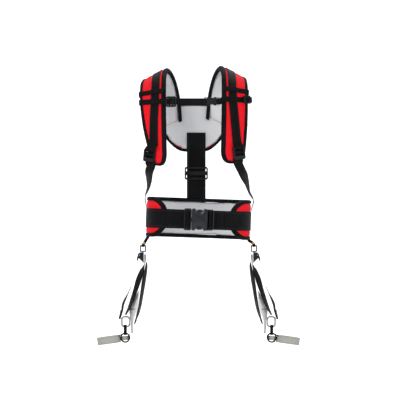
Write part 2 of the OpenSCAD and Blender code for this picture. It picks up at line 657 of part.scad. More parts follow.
// Tape link round the hook's lower bar and the hand band's eye
module connector(s) {
    low = EYE_AT[1] + sqrt(pow(EYE_R - BAND_T, 2) - pow(LINK_W / 2, 2)) - gap - web_t;
    top = HOOK_AT[1] + WIRE / 2 + WIRE * 0.71 + gap + web_t;
    depth = hand_w + 2 * gap + 2 * web_t;
    color("#151517") hang(s) translate([EYE_AT[0], 0, (top + low) / 2]) rotate([0, 0, 90])
        difference() {
            plate(depth + 2, top - low, LINK_W, 3.2);
            plate(depth + 2 - 2 * web_t, top - low - 2 * web_t, 2 * LINK_W, 1.5);
        }
}
module hand_band(s) {
    color("#a8a69c") hang(s) difference() {
        union() {
            eye_shape(EYE_R, hand_w);
            band_shape(hand_l, hand_d, hand_w);
        }
        eye_shape(EYE_R - BAND_T, 2 * hand_w);
        band_shape(hand_l - BAND_T, hand_d - BAND_T, 2 * hand_w);
    }
}
module eye_shape(r, w) translate([EYE_AT[0], 0, EYE_AT[1]]) rotate([90, 0, 0])
    cylinder(h = w, r = r, center = true);
// Oval loop for the hand, its outer end dropped
module band_shape(l, d, w) translate([EYE_AT[0] + EYE_R - 1 + hand_l, 0, EYE_AT[1] - BAND_LOW])
    rotate([0, BAND_DROP, 0]) linear_extrude(w, center = true) scale([1, d / l]) circle(r = l);

belt_pad();
belt_binding();
belt_webbing();
belt_tail();
waist_buckle_female();
waist_buckle_male();
waist_prong_upper();
waist_prong_lower();
back_yoke();
spine_strap();
spine_adjuster();
pad_keepers();
sternum_slider();
sternum_webbing();
sternum_buckle_male();
sternum_prong_upper();
sternum_prong_lower();
sternum_buckle_female();
sternum_triglide();
hip_rivets();
shoulder_pad(-1);  // shoulder_pad_left
shoulder_pad(1);  // shoulder_pad_right
shoulder_binding(-1);  // shoulder_binding_left
shoulder_binding(1);  // shoulder_binding_right
shoulder_webbing(-1);  // shoulder_webbing_left
shoulder_webbing(1);  // shoulder_webbing_right
sternum_keeper(-1);  // sternum_keeper_left
sternum_keeper(1);  // sternum_keeper_right
ladder_lock(-1);  // ladder_lock_left
ladder_lock(1);  // ladder_lock_right
lower_strap(-1);  // lower_strap_left
lower_strap(1);  // lower_strap_right
hip_loop(-1);  // hip_loop_left
hip_loop(1);  // hip_loop_right
hip_ring(-1);  // hip_ring_left
hip_ring(1);  // hip_ring_right
cam_frame(-1);  // cam_frame_left
cam_frame(1);  // cam_frame_right
cam_pin(-1);  // cam_pin_left
cam_pin(1);  // cam_pin_right
cam_lever(-1);  // cam_lever_left
cam_lever(1);  // cam_lever_right
drop_strap(-1);  // drop_strap_left
drop_strap(1);  // drop_strap_right
return_strap(-1);  // return_strap_left
return_strap(1);  // return_strap_right
load_sling(-1);  // load_sling_left
load_sling(1);  // load_sling_right
strap_tail(-1);  // strap_tail_left
strap_tail(1);  // strap_tail_right
steel_hook(-1);  // steel_hook_left
steel_hook(1);  // steel_hook_right
hook_gate(-1);  // hook_gate_left
hook_gate(1);  // hook_gate_right
connector(-1);  // connector_left
connector(1);  // connector_right
hand_band(-1);  // hand_band_left
hand_band(1);  // hand_band_right
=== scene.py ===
"""Looks of a carrying harness: pads, bindings, webbing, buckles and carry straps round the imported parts.

Lengths are millimetres until a mesh is made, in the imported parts' own frame: x sideways, y front to back, z up.
"""
import functools
import math

import bmesh
import bpy
import numpy as np
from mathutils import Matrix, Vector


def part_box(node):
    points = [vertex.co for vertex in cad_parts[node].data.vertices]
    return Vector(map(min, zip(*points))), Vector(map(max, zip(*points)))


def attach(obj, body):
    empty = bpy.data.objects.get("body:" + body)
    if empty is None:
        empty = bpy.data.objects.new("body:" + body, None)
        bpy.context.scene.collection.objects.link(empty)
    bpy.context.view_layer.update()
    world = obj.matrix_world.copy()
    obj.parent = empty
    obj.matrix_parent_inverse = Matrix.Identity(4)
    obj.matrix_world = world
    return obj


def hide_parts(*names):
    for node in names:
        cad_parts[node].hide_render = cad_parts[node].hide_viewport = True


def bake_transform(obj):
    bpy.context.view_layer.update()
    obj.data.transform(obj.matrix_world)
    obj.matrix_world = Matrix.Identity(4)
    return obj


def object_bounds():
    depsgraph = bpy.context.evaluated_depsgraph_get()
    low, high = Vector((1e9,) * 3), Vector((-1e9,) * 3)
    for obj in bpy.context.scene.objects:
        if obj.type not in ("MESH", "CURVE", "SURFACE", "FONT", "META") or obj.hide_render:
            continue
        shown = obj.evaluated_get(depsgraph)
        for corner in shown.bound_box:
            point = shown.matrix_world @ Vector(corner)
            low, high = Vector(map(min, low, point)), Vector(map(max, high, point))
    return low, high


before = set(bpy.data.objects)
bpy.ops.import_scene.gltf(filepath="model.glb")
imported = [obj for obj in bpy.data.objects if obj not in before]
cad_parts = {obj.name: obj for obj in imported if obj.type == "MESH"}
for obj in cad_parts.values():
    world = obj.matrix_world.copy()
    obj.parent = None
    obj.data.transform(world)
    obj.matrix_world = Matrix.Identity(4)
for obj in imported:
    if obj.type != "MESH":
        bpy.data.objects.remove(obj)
CAD_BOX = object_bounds()
MM = 0.001
SIDES = {"left": -1, "right": 1}

# ---- camera ----
VIEW_WIDTH = 1040
CAMERA_GAP = 10000
BELT_FRONT = -105
VIEW_MIDDLE = (4, 51)


def make_camera():
    """A long lens on the level of the belt, square to the wearer's front."""
    data = bpy.data.cameras.new("camera")
    data.sensor_width = 36
    data.lens = data.sensor_width * CAMERA_GAP / VIEW_WIDTH
    camera = bpy.data.objects.new("camera", data)
    camera.location = np.array([VIEW_MIDDLE[0], BELT_FRONT - CAMERA_GAP, VIEW_MIDDLE[1]]) * MM
    camera.rotation_euler = (math.pi / 2, 0, 0)
    bpy.context.scene.collection.objects.link(camera)
    bpy.context.scene.camera = camera


make_camera()

# ---- sizes of the worn harness, as designed ----
WAIST_W, WAIST_D, WAIST_R = 124, 92, 80
BELT_H, BELT_GAP, BELT_RISE, BELT_WEB = 104, 78, 3, 50
BELT_TILT = math.radians(2)
PAD_T, BIND_W, WEB_T, WEB_W = 12, 9, 1.7, 25
LEAN = -12
LIFT = {-1: 0, 1: 6}
PAD_TOE = {-1: 16, 1: 0}
GAP = 0.4
FLAT, SIDE = WAIST_W - WAIST_R, WAIST_D - WAIST_R
ARC = WAIST_R * math.pi / 2
HALF_RING = 2 * (FLAT + ARC + SIDE)
WEB_MID = PAD_T + GAP + WEB_T / 2
OVER_MID = WEB_MID + WEB_T + GAP
BELT_FACE = WAIST_D + PAD_T + GAP + WEB_T
BELT_TOP = BELT_H / 2 + BELT_RISE
PAD_ROWS = np.array([
    [68, -112, 139, 127, -90, 140], [69, -115, 180, 131, -84, 180], [70, -116, 240, 135, -78, 240],
    [71, -110, 300, 136, -70, 298], [71, -90, 345, 136, -48, 331], [70, -56, 374, 134, -18, 349],
    [65, -12, 387, 128, 12, 355], [56, 32, 383, 118, 46, 349], [46, 68, 362, 106, 76, 328],
    [38, 94, 328, 96, 98, 298], [34, 104, 290, 90, 106, 266], [32, 108, 260, 86, 109, 240]], float)
TOE_SHARE = np.array([1.1, 1, 0.45, 0.05, 0, 0, 0, 0, 0, 0, 0, 0])
WEB_PLACE = [0.68, 0.62, 0.48, 0.37, 0.34, 0.34, 0.37, 0.42, 0.46, 0.5, 0.5, 0.5]
ROW_STEP, PAD_END = 41, 36
TOP_U = len(PAD_ROWS) - 1
KEEPER_U, STERNUM_U, KEEPER_W = 3.62, 3.08, 14
YOKE_ROWS = np.array([
    [-46, 123, 176, 46, 123, 176], [-70, 127, 205, 70, 127, 205], [-92, 125, 240, 92, 125, 240],
    [-98, 122, 275, 98, 122, 275], [-70, 117, 306, 70, 117, 306]], float)
YOKE_T, YOKE_UP, YOKE_SQUARE = 8, 3, 0.22
YOKE_MID_ROW, YOKE_END_ROW, YOKE_ROW_STEP, YOKE_SPAN = 2, 4, 33, 150
YOKE_INSET, QUILT_STEP = 2.5, 22
SPINE_PATH = [[117, 230], [115, 175], [115, 140], [115, 100], [114, 80], [108, 54], [107.6, 30]]
SPINE_W = 50
LOCK_AT = np.array([116, -112, 182.0])
LOCK_TURN, LOCK_ROLL = math.radians(25), math.radians(-6)
HANG_X, HANG_Y, HANG_Z = 146, 12, 69
WIRE, HOOK_W, HOOK_H, HOOK_CORNER, HOOK_GATE = 4, 24, 30, 7, 15.2
HOOK_AT = (191.5, -284)
EYE_AT, EYE_R, BAND_T = (192.5, -311), 13, 3
HAND_W, HAND_L, HAND_D, BAND_LOW, BAND_DROP = 20, 31, 24, 6, math.radians(8)
LINK_W = 8
STERNUM_Y, STERNUM_Z, STERNUM_WEB, STERNUM_MOUTH = -128.5, 307, 16, 24
WAIST_MOUTH, WAIST_BUCKLE_H, STERNUM_BUCKLE_H = 18, 57, 22
BUCKLE_Y, STERNUM_BUCKLE_Y = -115.175, -131.25
STRIPE_OUT = 20.5
THIN_WEB_T = 1.5

# ---- curves ----


def unit(v):
    """Vectors divided by their lengths."""
    return v / np.linalg.norm(v, axis=-1, keepdims=True)


def ease(low, high, x):
    """0 below low, 1 above high, and a smooth step between."""
    t = np.clip((np.asarray(x, float) - low) / (high - low), 0, 1)
    return t * t * (3 - 2 * t)


def squared(v, power):
    """The size of v raised to a power, its sign kept: a circle's sine and cosine then give a squarer form."""
    return np.sign(v) * np.abs(v) ** power


def all_along(path, direction):
    """The same direction at every point of a path."""
    return np.repeat(np.asarray(direction, float)[None], len(path), 0)


def spline(rows, u):
    """Catmull-Rom curve through rows: at u = i it is row i, with a slope half of row i+1 less row i-1."""
    p = np.asarray(rows, float)
    u = np.clip(np.asarray(u, float), 0, len(p) - 1)
    i = np.minimum(u.astype(int), len(p) - 2)
    t = (u - i)[:, None]
    a, b, c, d = p[np.maximum(i - 1, 0)], p[i], p[i + 1], p[np.minimum(i + 2, len(p) - 1)]
    return 0.5 * (2 * b + (c - a) * t + (2 * a - 5 * b + 4 * c - d) * t**2 + (3 * b - a - 3 * c + d) * t**3)


def lengths(path):
    """Distance along a path at each of its points."""
    return np.concatenate([[0], np.cumsum(np.linalg.norm(np.diff(path, axis=0), axis=1))])


def evenly(path, step, *others):
    """The path, and other arrays that go with it, at even distances of about step."""
    s = lengths(path)
    at = np.linspace(0, s[-1], max(3, int(round(s[-1] / step)) + 1))
    return [np.stack([np.interp(at, s, a[:, k]) for k in range(a.shape[1])], 1) for a in (path, *others)]


def through(points, step=2.5):
    """A smooth path through points, at even distances."""
    points = np.asarray(points, float)
    return evenly(spline(points, np.linspace(0, len(points) - 1, 24 * len(points))), step)[0]


def mirrored(p, s):
    """Right-hand points as they are, or flipped sideways for the left."""
    return p * np.array([s, 1, 1])


def worn(p, s):
    """Points of a shoulder as worn: leaning sideways, with one shoulder a little higher."""
    return mirrored(p, s) + np.array([LEAN, 0, LIFT[s]])


# ---- surfaces that the pieces lie on ----


def pad_frame(s, u):
    """Inner edge, width vector and outward normal of a shoulder pad at row u: the normal is across x along."""
    rows = PAD_ROWS.copy()
    rows[:, 3] -= PAD_TOE[s] * TOE_SHARE
    rows[:, 4] -= PAD_TOE[s] * TOE_SHARE / 2
    r = spline(rows, u)
    d = spline(rows, np.minimum(u + 0.05, TOP_U)) - spline(rows, np.maximum(u - 0.05, 0))
    width = r[:, 3:] - r[:, :3]
    return r[:, :3], width, unit(np.cross(width, d[:, :3] + d[:, 3:]))


def on_pad(s, u, f, t):
    """Point of a shoulder pad: row u, share f of its width, height t above the body."""
    u, f, t = np.broadcast_arrays(*(np.atleast_1d(np.asarray(x, float)) for x in (u, f, t)))
    edge, width, normal = pad_frame(s, u)
    return worn(edge + width * f[:, None] + normal * t[:, None], s)


def pad_width(s, u):
    """Width of a shoulder pad at row u: the length of its width vector."""
    return np.linalg.norm(pad_frame(s, np.atleast_1d(np.asarray(u, float)))[1], axis=1)


def web_share(u):
    """Where the shoulder webbing's middle is, as a share of the pad's width."""
    return np.interp(u, np.arange(len(WEB_PLACE)), WEB_PLACE)


def tilted(p):
    """The belt as worn: turned a little about the y axis."""
    c, n = math.cos(BELT_TILT), math.sin(BELT_TILT)
    return np.stack([p[:, 0] * c + p[:, 2] * n, p[:, 1], p[:, 2] * c - p[:, 0] * n], 1)


def level(p):
    """The belt before it is tilted."""
    c, n = math.cos(BELT_TILT), math.sin(BELT_TILT)
    return np.stack([p[:, 0] * c - p[:, 2] * n, p[:, 1], p[:, 2] * c + p[:, 0] * n], 1)


def on_belt(q, z, t):
    """Point q along the waist from the belly's middle, z high and t out.

    The waist is a rounded rectangle: flats joined by quarter circles of radius WAIST_R + t.
    """
    q, z, t = np.broadcast_arrays(*(np.atleast_1d(np.asarray(x, float)) for x in (q, z, t)))
    q = np.mod(q + HALF_RING, 2 * HALF_RING) - HALF_RING
    a = np.abs(q)
    front = (a - FLAT) / WAIST_R - math.pi / 2
    rear = (a - FLAT - ARC - 2 * SIDE) / WAIST_R
    where = [a < FLAT, a < FLAT + ARC, a < FLAT + ARC + 2 * SIDE, a < FLAT + 2 * ARC + 2 * SIDE]
    x = np.select(where, [a, FLAT + (WAIST_R + t) * np.cos(front), WAIST_W + t,
                          FLAT + (WAIST_R + t) * np.cos(rear)], HALF_RING - a)
    y = np.select(where, [-WAIST_D - t, -SIDE + (WAIST_R + t) * np.sin(front), a - FLAT - ARC - SIDE,
                          SIDE + (WAIST_R + t) * np.sin(rear)], WAIST_D + t)
    return tilted(np.stack([np.where(q < 0, -x, x), y, z], 1))


def on_yoke(u, f, t):
    """Point of the yoke: row u, share f across, height t above its outer face."""
    u, f, t = np.broadcast_arrays(*(np.atleast_1d(np.asarray(x, float)) for x in (u, f, t)))
    r = spline(YOKE_ROWS, u)
    d = spline(YOKE_ROWS, np.minimum(u + 0.05, YOKE_END_ROW)) - spline(YOKE_ROWS, np.maximum(u - 0.05, 0))
    width = r[:, 3:] - r[:, :3]
    outward = -unit(np.cross(width, d[:, :3] + d[:, 3:]))
    return r[:, :3] + width * f[:, None] + outward * t[:, None] + np.array([LEAN, 0, YOKE_UP])


def in_yoke(u, f, t):
    """Point of the yoke at a height above its inner face."""
    return on_yoke(u, f, t - YOKE_T)


def lock_axes(s):
    """Sideways, forward and upward axes of a ladder lock before mirroring."""
    c, n = math.cos(LOCK_TURN), math.sin(LOCK_TURN)
    turn = np.array([[c, -n, 0], [n, c, 0], [0, 0, 1]])
    c, n = math.cos(LOCK_ROLL), math.sin(LOCK_ROLL)
    return turn @ np.array([[c, 0, n], [0, 1, 0], [-n, 0, c]])


def on_lock(s, points):
    """Points given from a ladder lock's top bar, as worn."""
    p = np.asarray(points, float) @ lock_axes(s).T + LOCK_AT - np.array([PAD_TOE[s] * 0.15, 0, 0])
    return worn(p, s)


def on_hip(s, points):
    """Points of a carry strap, given for the right hip, as they hang on side s."""
    return mirrored(np.asarray(points, float), s) + np.array([0, HANG_Y, 0])


# ---- meshes ----


def ring_faces(n, m, closed=False):
    """Quads between n rings of m points each, and a face over each open end."""
    i, k = np.arange(n if closed else n - 1)[:, None], np.arange(m)[None, :]
    j, after = (i + 1) % n, (k + 1) % m
    quads = np.stack([i * m + k, i * m + after, j * m + after, j * m + k], -1).reshape(-1, 4).tolist()
    return quads if closed else quads + [list(range(m)), list(range((n - 1) * m, n * m))]


def piece_from(name, points, faces, uv=None, seam=None, sharp=40):
    """A piece from points in millimetres. uv holds the place across and along, also in millimetres.

    seam holds, for a closed ring, its whole length, where its last faces end, and the points in each section.
    """
    mesh = bpy.data.meshes.new(name)
    mesh.from_pydata((np.asarray(points) * MM).tolist(), [], faces)
    if uv is not None:
        corner = np.zeros(len(mesh.loops), int)
        mesh.loops.foreach_get("vertex_index", corner)
        values = uv[corner] * MM
        if seam:
            total, ring = seam
            last = values[-4 * ring:].reshape(-1, 4, 2)
            last[:, 2:, 1] = total * MM
        layer = mesh.uv_layers.new(name="cloth")
        layer.data.foreach_set("uv", values.ravel())
    shape = bmesh.new()
    shape.from_mesh(mesh)
    bmesh.ops.recalc_face_normals(shape, faces=shape.faces)
    shape.to_mesh(mesh)
    shape.free()
    mesh.polygons.foreach_set("use_smooth", np.ones(len(mesh.polygons), bool))
    mesh.set_sharp_from_angle(angle=math.radians(sharp))
    piece = bpy.data.objects.new(name, mesh)
    bpy.context.scene.collection.objects.link(piece)
    return piece


def ribbon(name, path, across, width, thick=WEB_T, closed=False, relief=None, spans=8):
    """Webbing: a flat section with half-round edges, carried along a path. Its face is across x along.

    relief(c, s) is the extra height of both faces at c across and s along.
    """
    path, across = np.asarray(path, float), unit(np.asarray(across, float))
    along = unit(np.roll(path, -1, 0) - np.roll(path, 1, 0) if closed else np.gradient(path, axis=0))
    across = unit(across - along * np.sum(across * along, 1, keepdims=True))
    up = np.cross(across, along)
    r = thick / 2
    flat = np.linspace(-1, 1, spans + 1)
    turn = np.radians([60, 25, -25, -60])
    c = np.concatenate([flat, np.ones(4), flat[::-1], -np.ones(4)])
    dx = np.concatenate([flat * 0, r * np.cos(turn), flat * 0, -r * np.cos(turn)])
    dz = np.concatenate([flat * 0 + r, r * np.sin(turn), flat * 0 - r, -r * np.sin(turn)])
    width = np.broadcast_to(np.asarray(width, float), (len(path),))
    s = lengths(path)
    side = c[None, :] * (width[:, None] / 2 - r) + dx
    lift = np.broadcast_to(dz, side.shape).copy()
    if relief is not None:
        lift += np.sign(dz) * (np.abs(dz) > r * 0.99) * relief(side, s[:, None])
    points = path[:, None] + across[:, None] * side[..., None] + up[:, None] * lift[..., None]
    uv = np.stack([side, np.broadcast_to(s[:, None], side.shape)], -1).reshape(-1, 2)
    total = s[-1] + np.linalg.norm(path[0] - path[-1])
    return piece_from(name, points.reshape(-1, 3), ring_faces(len(path), len(c), closed), uv,
                      (total, len(c)) if closed else None)


def tube(name, path, radius, sides=12, closed=False):
    """A round bar along a path that lies in one plane or nearly so: circles square to the path.

    An open end is a dome: its radius falls as the square root of 1 less the squared distance out.
    """
    path = np.asarray(path, float)
    radius = np.broadcast_to(np.asarray(radius, float), (len(path),))
    along = unit(np.roll(path, -1, 0) - np.roll(path, 1, 0) if closed else np.gradient(path, axis=0))
    fixed = np.array([0.03, 1, 0.02]) if abs(along[:, 1]).max() < 0.9 else np.array([0.02, 0.03, 1])
    first = unit(np.cross(along, fixed))
    second = np.cross(along, first)
    if not closed:
        out = np.linspace(0.97, 0, 4)
        cap = np.sqrt(1 - out**2)
        head = path[0] - along[0] * radius[0] * out[:, None]
        tail = path[-1] + along[-1] * radius[0] * out[::-1, None]
        path = np.concatenate([head[:-1], path, tail[1:]])
        radius = np.concatenate([radius[0] * cap[:-1], radius, radius[-1] * cap[::-1][1:]])
        first, second = (np.pad(v, ((3, 3), (0, 0)), "edge") for v in (first, second))
    a = np.linspace(0, 2 * math.pi, sides, endpoint=False)
    points = path[:, None] + radius[:, None, None] * (
        first[:, None] * np.cos(a)[None, :, None] + second[:, None] * np.sin(a)[None, :, None])
    return piece_from(name, points.reshape(-1, 3), ring_faces(len(path), sides, closed))


def stitching(name, path, up, pitch=4.6, length=3.3, radius=0.36, lift=0.1):
    """Sewing thread: short beads along a path, each sinking into the cloth at both ends."""
    path, up = evenly(np.asarray(path, float), 1.0, np.asarray(up, float))
    s = lengths(path)
    middle = np.arange(pitch / 2, s[-1] - pitch / 2 + 0.01, pitch)
    centre, along, out = (np.stack([np.interp(middle, s, a[:, k]) for k in range(3)], 1)
                          for a in (path, np.gradient(path, axis=0), up))
    along = unit(along)
    out = unit(out - along * np.sum(out * along, 1, keepdims=True))
    side = np.cross(along, out)
    x = np.array([-0.5, -0.36, 0, 0.36, 0.5]) * length
    swell = np.array([0.2, 0.8, 1, 0.8, 0.2]) * radius
    sink = np.array([-1.2, -0.1, 0, -0.1, -1.2]) * radius + lift
    sides = 5
    a = np.linspace(0, 2 * math.pi, sides, endpoint=False)
    spread = lambda v: v[:, None, None, :]
    points = (spread(centre) + spread(along) * x[None, :, None, None]
              + spread(out) * (sink[None, :, None] + swell[None, :, None] * np.sin(a))[..., None]
              + spread(side) * (swell[None, :, None] * np.cos(a))[..., None])
    one = ring_faces(len(x), sides)
    faces = [[v + len(x) * sides * k for v in f] for k in range(len(middle)) for f in one]
    return piece_from(name, points.reshape(-1, 3), faces, sharp=80)


def dress(piece, slot, material, *nodes):
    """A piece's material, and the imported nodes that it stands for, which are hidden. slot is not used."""
    piece.data.materials.append(material)
    if nodes:
        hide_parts(*nodes)


def finish_piece(piece, body, slot, material, *nodes):
    """A piece that rides on one body."""
    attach(piece, body)
    dress(piece, slot, material, *nodes)
    return piece


def finish_across(piece, bodies, start, end, slot, material, *nodes):
    """Webbing that crosses a joint: it gets its material, the imported nodes are hidden, and its place is baked
    into its mesh. bodies, start and end are not used.
    """
    dress(piece, slot, material, *nodes)
    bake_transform(piece)


# ---- material groups ----


def node_group(name, inputs, outputs):
    """An empty shader group with its sockets: inputs are (name, kind, value) and outputs (name, kind)."""
    group = bpy.data.node_groups.new(name, "ShaderNodeTree")
    for label, kind, value in inputs:
        socket = group.interface.new_socket(label, in_out="INPUT", socket_type=kind)
        if value is not None:
            socket.default_value = value
    for label, kind in outputs:
        group.interface.new_socket(label, in_out="OUTPUT", socket_type=kind)
    return group, group.nodes.new("NodeGroupInput"), group.nodes.new("NodeGroupOutput")


def math_node(tree, operation, a, b=None, c=None):
    """A Math node whose inputs are sockets or plain numbers; gives its output socket."""
    node = tree.nodes.new("ShaderNodeMath")
    node.operation = operation
    for k, value in enumerate((a, b, c)):
        if isinstance(value, bpy.types.NodeSocket):
            tree.links.new(value, node.inputs[k])
        elif value is not None:
            node.inputs[k].default_value = value
    return node.outputs[0]


def weave_group():
    """Woven cloth from a place in metres: ribs across it, bent into chevrons, and threads along it.

    Height is a half, with 0.3 of a sine along the length, shifted by a triangle wave across, and 0.2 of the
    threads' own sine. The second output is twice the height, softly held at 1: it is low where the weave sinks
    between threads, and it marks where painted shade darkens the cloth.
    """
    group, start, end = node_group(
        "cloth_weave", [("Place", "NodeSocketVector", None), ("Thread", "NodeSocketFloat", 0.0012),
                        ("Rib", "NodeSocketFloat", 0.0016), ("Chevron", "NodeSocketFloat", 0.5)],
        [("Height", "NodeSocketFloat"), ("Gap_shade", "NodeSocketFloat")])
    turn = 2 * math.pi
    split = group.nodes.new("ShaderNodeSeparateXYZ")
    group.links.new(start.outputs["Place"], split.inputs[0])
    across = math_node(group, "DIVIDE", split.outputs[0], start.outputs["Thread"])
    along = math_node(group, "DIVIDE", split.outputs[1], start.outputs["Rib"])
    zigzag = math_node(group, "PINGPONG", across, 2.0)
    shifted = math_node(group, "MULTIPLY_ADD", zigzag, start.outputs["Chevron"], along)
    rib = math_node(group, "SINE", math_node(group, "MULTIPLY", shifted, turn))
    thread = math_node(group, "SINE", math_node(group, "MULTIPLY", across, turn))
    mixed = math_node(group, "MULTIPLY_ADD", rib, 0.3, math_node(group, "MULTIPLY_ADD", thread, 0.2, 0.5))
    group.links.new(mixed, end.inputs["Height"])
    # painted shade: this mask is low where the weave sinks between threads
    gap_shade_mask = math_node(group, "SMOOTH_MIN", mixed, 0.5, 0.2)
    group.links.new(math_node(group, "MULTIPLY", gap_shade_mask, 2.0), end.inputs["Gap_shade"])
    return group


def flat_place_group():
    """A cloth's place on a stuffed form, from the object axes that face least along the normal.

    The first is y where the surface faces sideways, or else x; the second is y where it faces up, or else z.
    """
    group, start, end = node_group("place_on_form", [], [("Place", "NodeSocketVector")])
    where = group.nodes.new("ShaderNodeTexCoord")
    split = group.nodes.new("ShaderNodeSeparateXYZ")
    facing = group.nodes.new("ShaderNodeSeparateXYZ")
    group.links.new(where.outputs["Object"], split.inputs[0])
    group.links.new(where.outputs["Normal"], facing.inputs[0])
    size = [math_node(group, "ABSOLUTE", facing.outputs[k]) for k in range(3)]
    sideways = math_node(group, "GREATER_THAN", size[0], size[1])
    upward = math_node(group, "GREATER_THAN", size[2], 0.8)
    join = group.nodes.new("ShaderNodeCombineXYZ")
    for k, (mask, other) in enumerate(((sideways, split.outputs[0]), (upward, split.outputs[2]))):
        rest = math_node(group, "MULTIPLY", other, math_node(group, "SUBTRACT", 1.0, mask))
        place = math_node(group, "ADD", math_node(group, "MULTIPLY", split.outputs[1], mask), rest)
        group.links.new(place, join.inputs[k])
    group.links.new(join.outputs[0], end.inputs["Place"])
    return group


def handled_group():
    """Unevenness of a surface in use: a slow noise, a fine noise, and a dust mask.

    Dust is three times what a third, rougher noise has above a half.
    """
    group, start, end = node_group(
        "handled", [("Broad", "NodeSocketFloat", 14.0), ("Fine", "NodeSocketFloat", 260.0)],
        [("Shade", "NodeSocketFloat"), ("Grain", "NodeSocketFloat"), ("Dust", "NodeSocketFloat")])
    where = group.nodes.new("ShaderNodeTexCoord")
    noises = []
    for scale, detail in (("Broad", 3.0), ("Fine", 4.0), ("Broad", 8.0)):
        noise = group.nodes.new("ShaderNodeTexNoise")
        group.links.new(where.outputs["Object"], noise.inputs["Vector"])
        group.links.new(start.outputs[scale], noise.inputs["Scale"])
        noise.inputs["Detail"].default_value = detail
        noises.append(noise.outputs[0])
    group.links.new(noises[0], end.inputs["Shade"])
    group.links.new(noises[1], end.inputs["Grain"])
    dust = math_node(group, "MULTIPLY", math_node(group, "SUBTRACT", noises[2], 0.5), 3.0)
    group.links.new(math_node(group, "MAXIMUM", dust, 0.0), end.inputs["Dust"])
    return group


WEAVE, ON_FORM, HANDLED = weave_group(), flat_place_group(), handled_group()


def colour_mix(tree, factor, a, b):
    """A colour Mix node: a at factor 0 and b at 1, each a socket or a plain colour; gives its output socket."""
    node = tree.nodes.new("ShaderNodeMix")
    node.data_type, node.clamp_factor = "RGBA", True
    for socket, value in ((node.inputs[0], factor), (node.inputs[6], a), (node.inputs[7], b)):
        if isinstance(value, bpy.types.NodeSocket):
            tree.links.new(value, socket)
        else:
            socket.default_value = value if isinstance(value, float) else (*value, 1)
    return node.outputs[2]


def new_material(name):
    """A material with nodes, its tree and its shader."""
    material = bpy.data.materials.new(name)
    material.use_nodes = True
    return material, material.node_tree, material.node_tree.nodes["Principled BSDF"]


def placed(tree, group):
    """A shared group, placed in a material."""
    node = tree.nodes.new("ShaderNodeGroup")
    node.node_tree = group
    return node


def bumped(tree, shader, height, depth):
    """Fine relief: a Bump node depth metres deep, from a height of 0 to 1."""
    bump = tree.nodes.new("ShaderNodeBump")
    bump.inputs["Distance"].default_value = depth
    bump.inputs["Strength"].default_value = 0.8
    tree.links.new(height, bump.inputs["Height"])
    tree.links.new(bump.outputs[0], shader.inputs["Normal"])


def cloth(name, colour, gap_shade_colour, thread, rib, chevron=0.5, rough=0.75, sheen=0.02, depth=0.0004,
          stripe=None, dust=0.12, own_uv=True, lining=None):
    """Woven stuff: painted shade between its threads, where the weave sinks; uneven in tone; a little dusty.

    stripe is (distance from the middle, width, tone) of a line along each edge. lining is the colour of what
    the mesh's own lining attribute marks.
    """
    material, tree, shader = new_material(name)
    weave, handled = placed(tree, WEAVE), placed(tree, HANDLED)
    if own_uv:
        place = tree.nodes.new("ShaderNodeUVMap")
        place.uv_map = "cloth"
    else:
        place = placed(tree, ON_FORM)
    tree.links.new(place.outputs[0], weave.inputs["Place"])
    weave.inputs["Thread"].default_value, weave.inputs["Rib"].default_value = thread, rib
    weave.inputs["Chevron"].default_value = chevron
    # painted shade: the cloth turns to its darker second colour where the weave sinks between threads
    tone = colour_mix(tree, weave.outputs["Gap_shade"], gap_shade_colour, colour)
    if stripe:
        split = tree.nodes.new("ShaderNodeSeparateXYZ")
        tree.links.new(place.outputs[0], split.inputs[0])
        off = math_node(tree, "ABSOLUTE", math_node(
            tree, "SUBTRACT", math_node(tree, "ABSOLUTE", split.outputs[0]), stripe[0]))
        inside = math_node(tree, "LESS_THAN", off, stripe[1] / 2)
        tone = colour_mix(tree, inside, tone, stripe[2])
    uneven = math_node(tree, "MULTIPLY_ADD", handled.outputs["Shade"], 0.5, 0.1)
    tone = colour_mix(tree, uneven, tone, tuple(min(1, 1.35 * c + 0.003) for c in colour))
    if lining:
        inside = tree.nodes.new("ShaderNodeAttribute")
        inside.attribute_name = "lining"
        # painted shade: the lining is also darkened to 0.55 of its colour where the weave sinks
        mesh_tone = colour_mix(tree, weave.outputs["Gap_shade"], tuple(0.55 * c for c in lining), lining)
        tone = colour_mix(tree, inside.outputs["Fac"], tone, mesh_tone)
    dusty = math_node(tree, "MULTIPLY", handled.outputs["Dust"], dust)
    tone = colour_mix(tree, dusty, tone, (0.45, 0.43, 0.4))
    tree.links.new(tone, shader.inputs["Base Color"])
    roughness = math_node(tree, "MULTIPLY_ADD", handled.outputs["Grain"], 0.2, rough - 0.1)
    tree.links.new(roughness, shader.inputs["Roughness"])
    shader.inputs["Sheen Weight"].default_value = sheen
    shader.inputs["Sheen Roughness"].default_value = 0.4
    shader.inputs["Specular IOR Level"].default_value = 0.055
    bumped(tree, shader, weave.outputs["Height"], depth)
    return material


def moulded(name, colour, worn_colour, rough, coat=0.0):
    """Moulded plastic: fine grain, and a paler tone where it is handled."""
    material, tree, shader = new_material(name)
    handled = placed(tree, HANDLED)
    handled.inputs["Broad"].default_value, handled.inputs["Fine"].default_value = 40.0, 1400.0
    worn_mask = math_node(tree, "MULTIPLY", handled.outputs["Dust"], 0.5)
    tree.links.new(colour_mix(tree, worn_mask, colour, worn_colour), shader.inputs["Base Color"])
    roughness = math_node(tree, "MULTIPLY_ADD", handled.outputs["Shade"], 0.3, rough - 0.15)
    tree.links.new(roughness, shader.inputs["Roughness"])
    shader.inputs["Coat Weight"].default_value = coat
    shader.inputs["Coat Roughness"].default_value = 0.2
    shader.inputs["Specular IOR Level"].default_value = 0.16
    bumped(tree, shader, handled.outputs["Grain"], 0.00005)
    return material


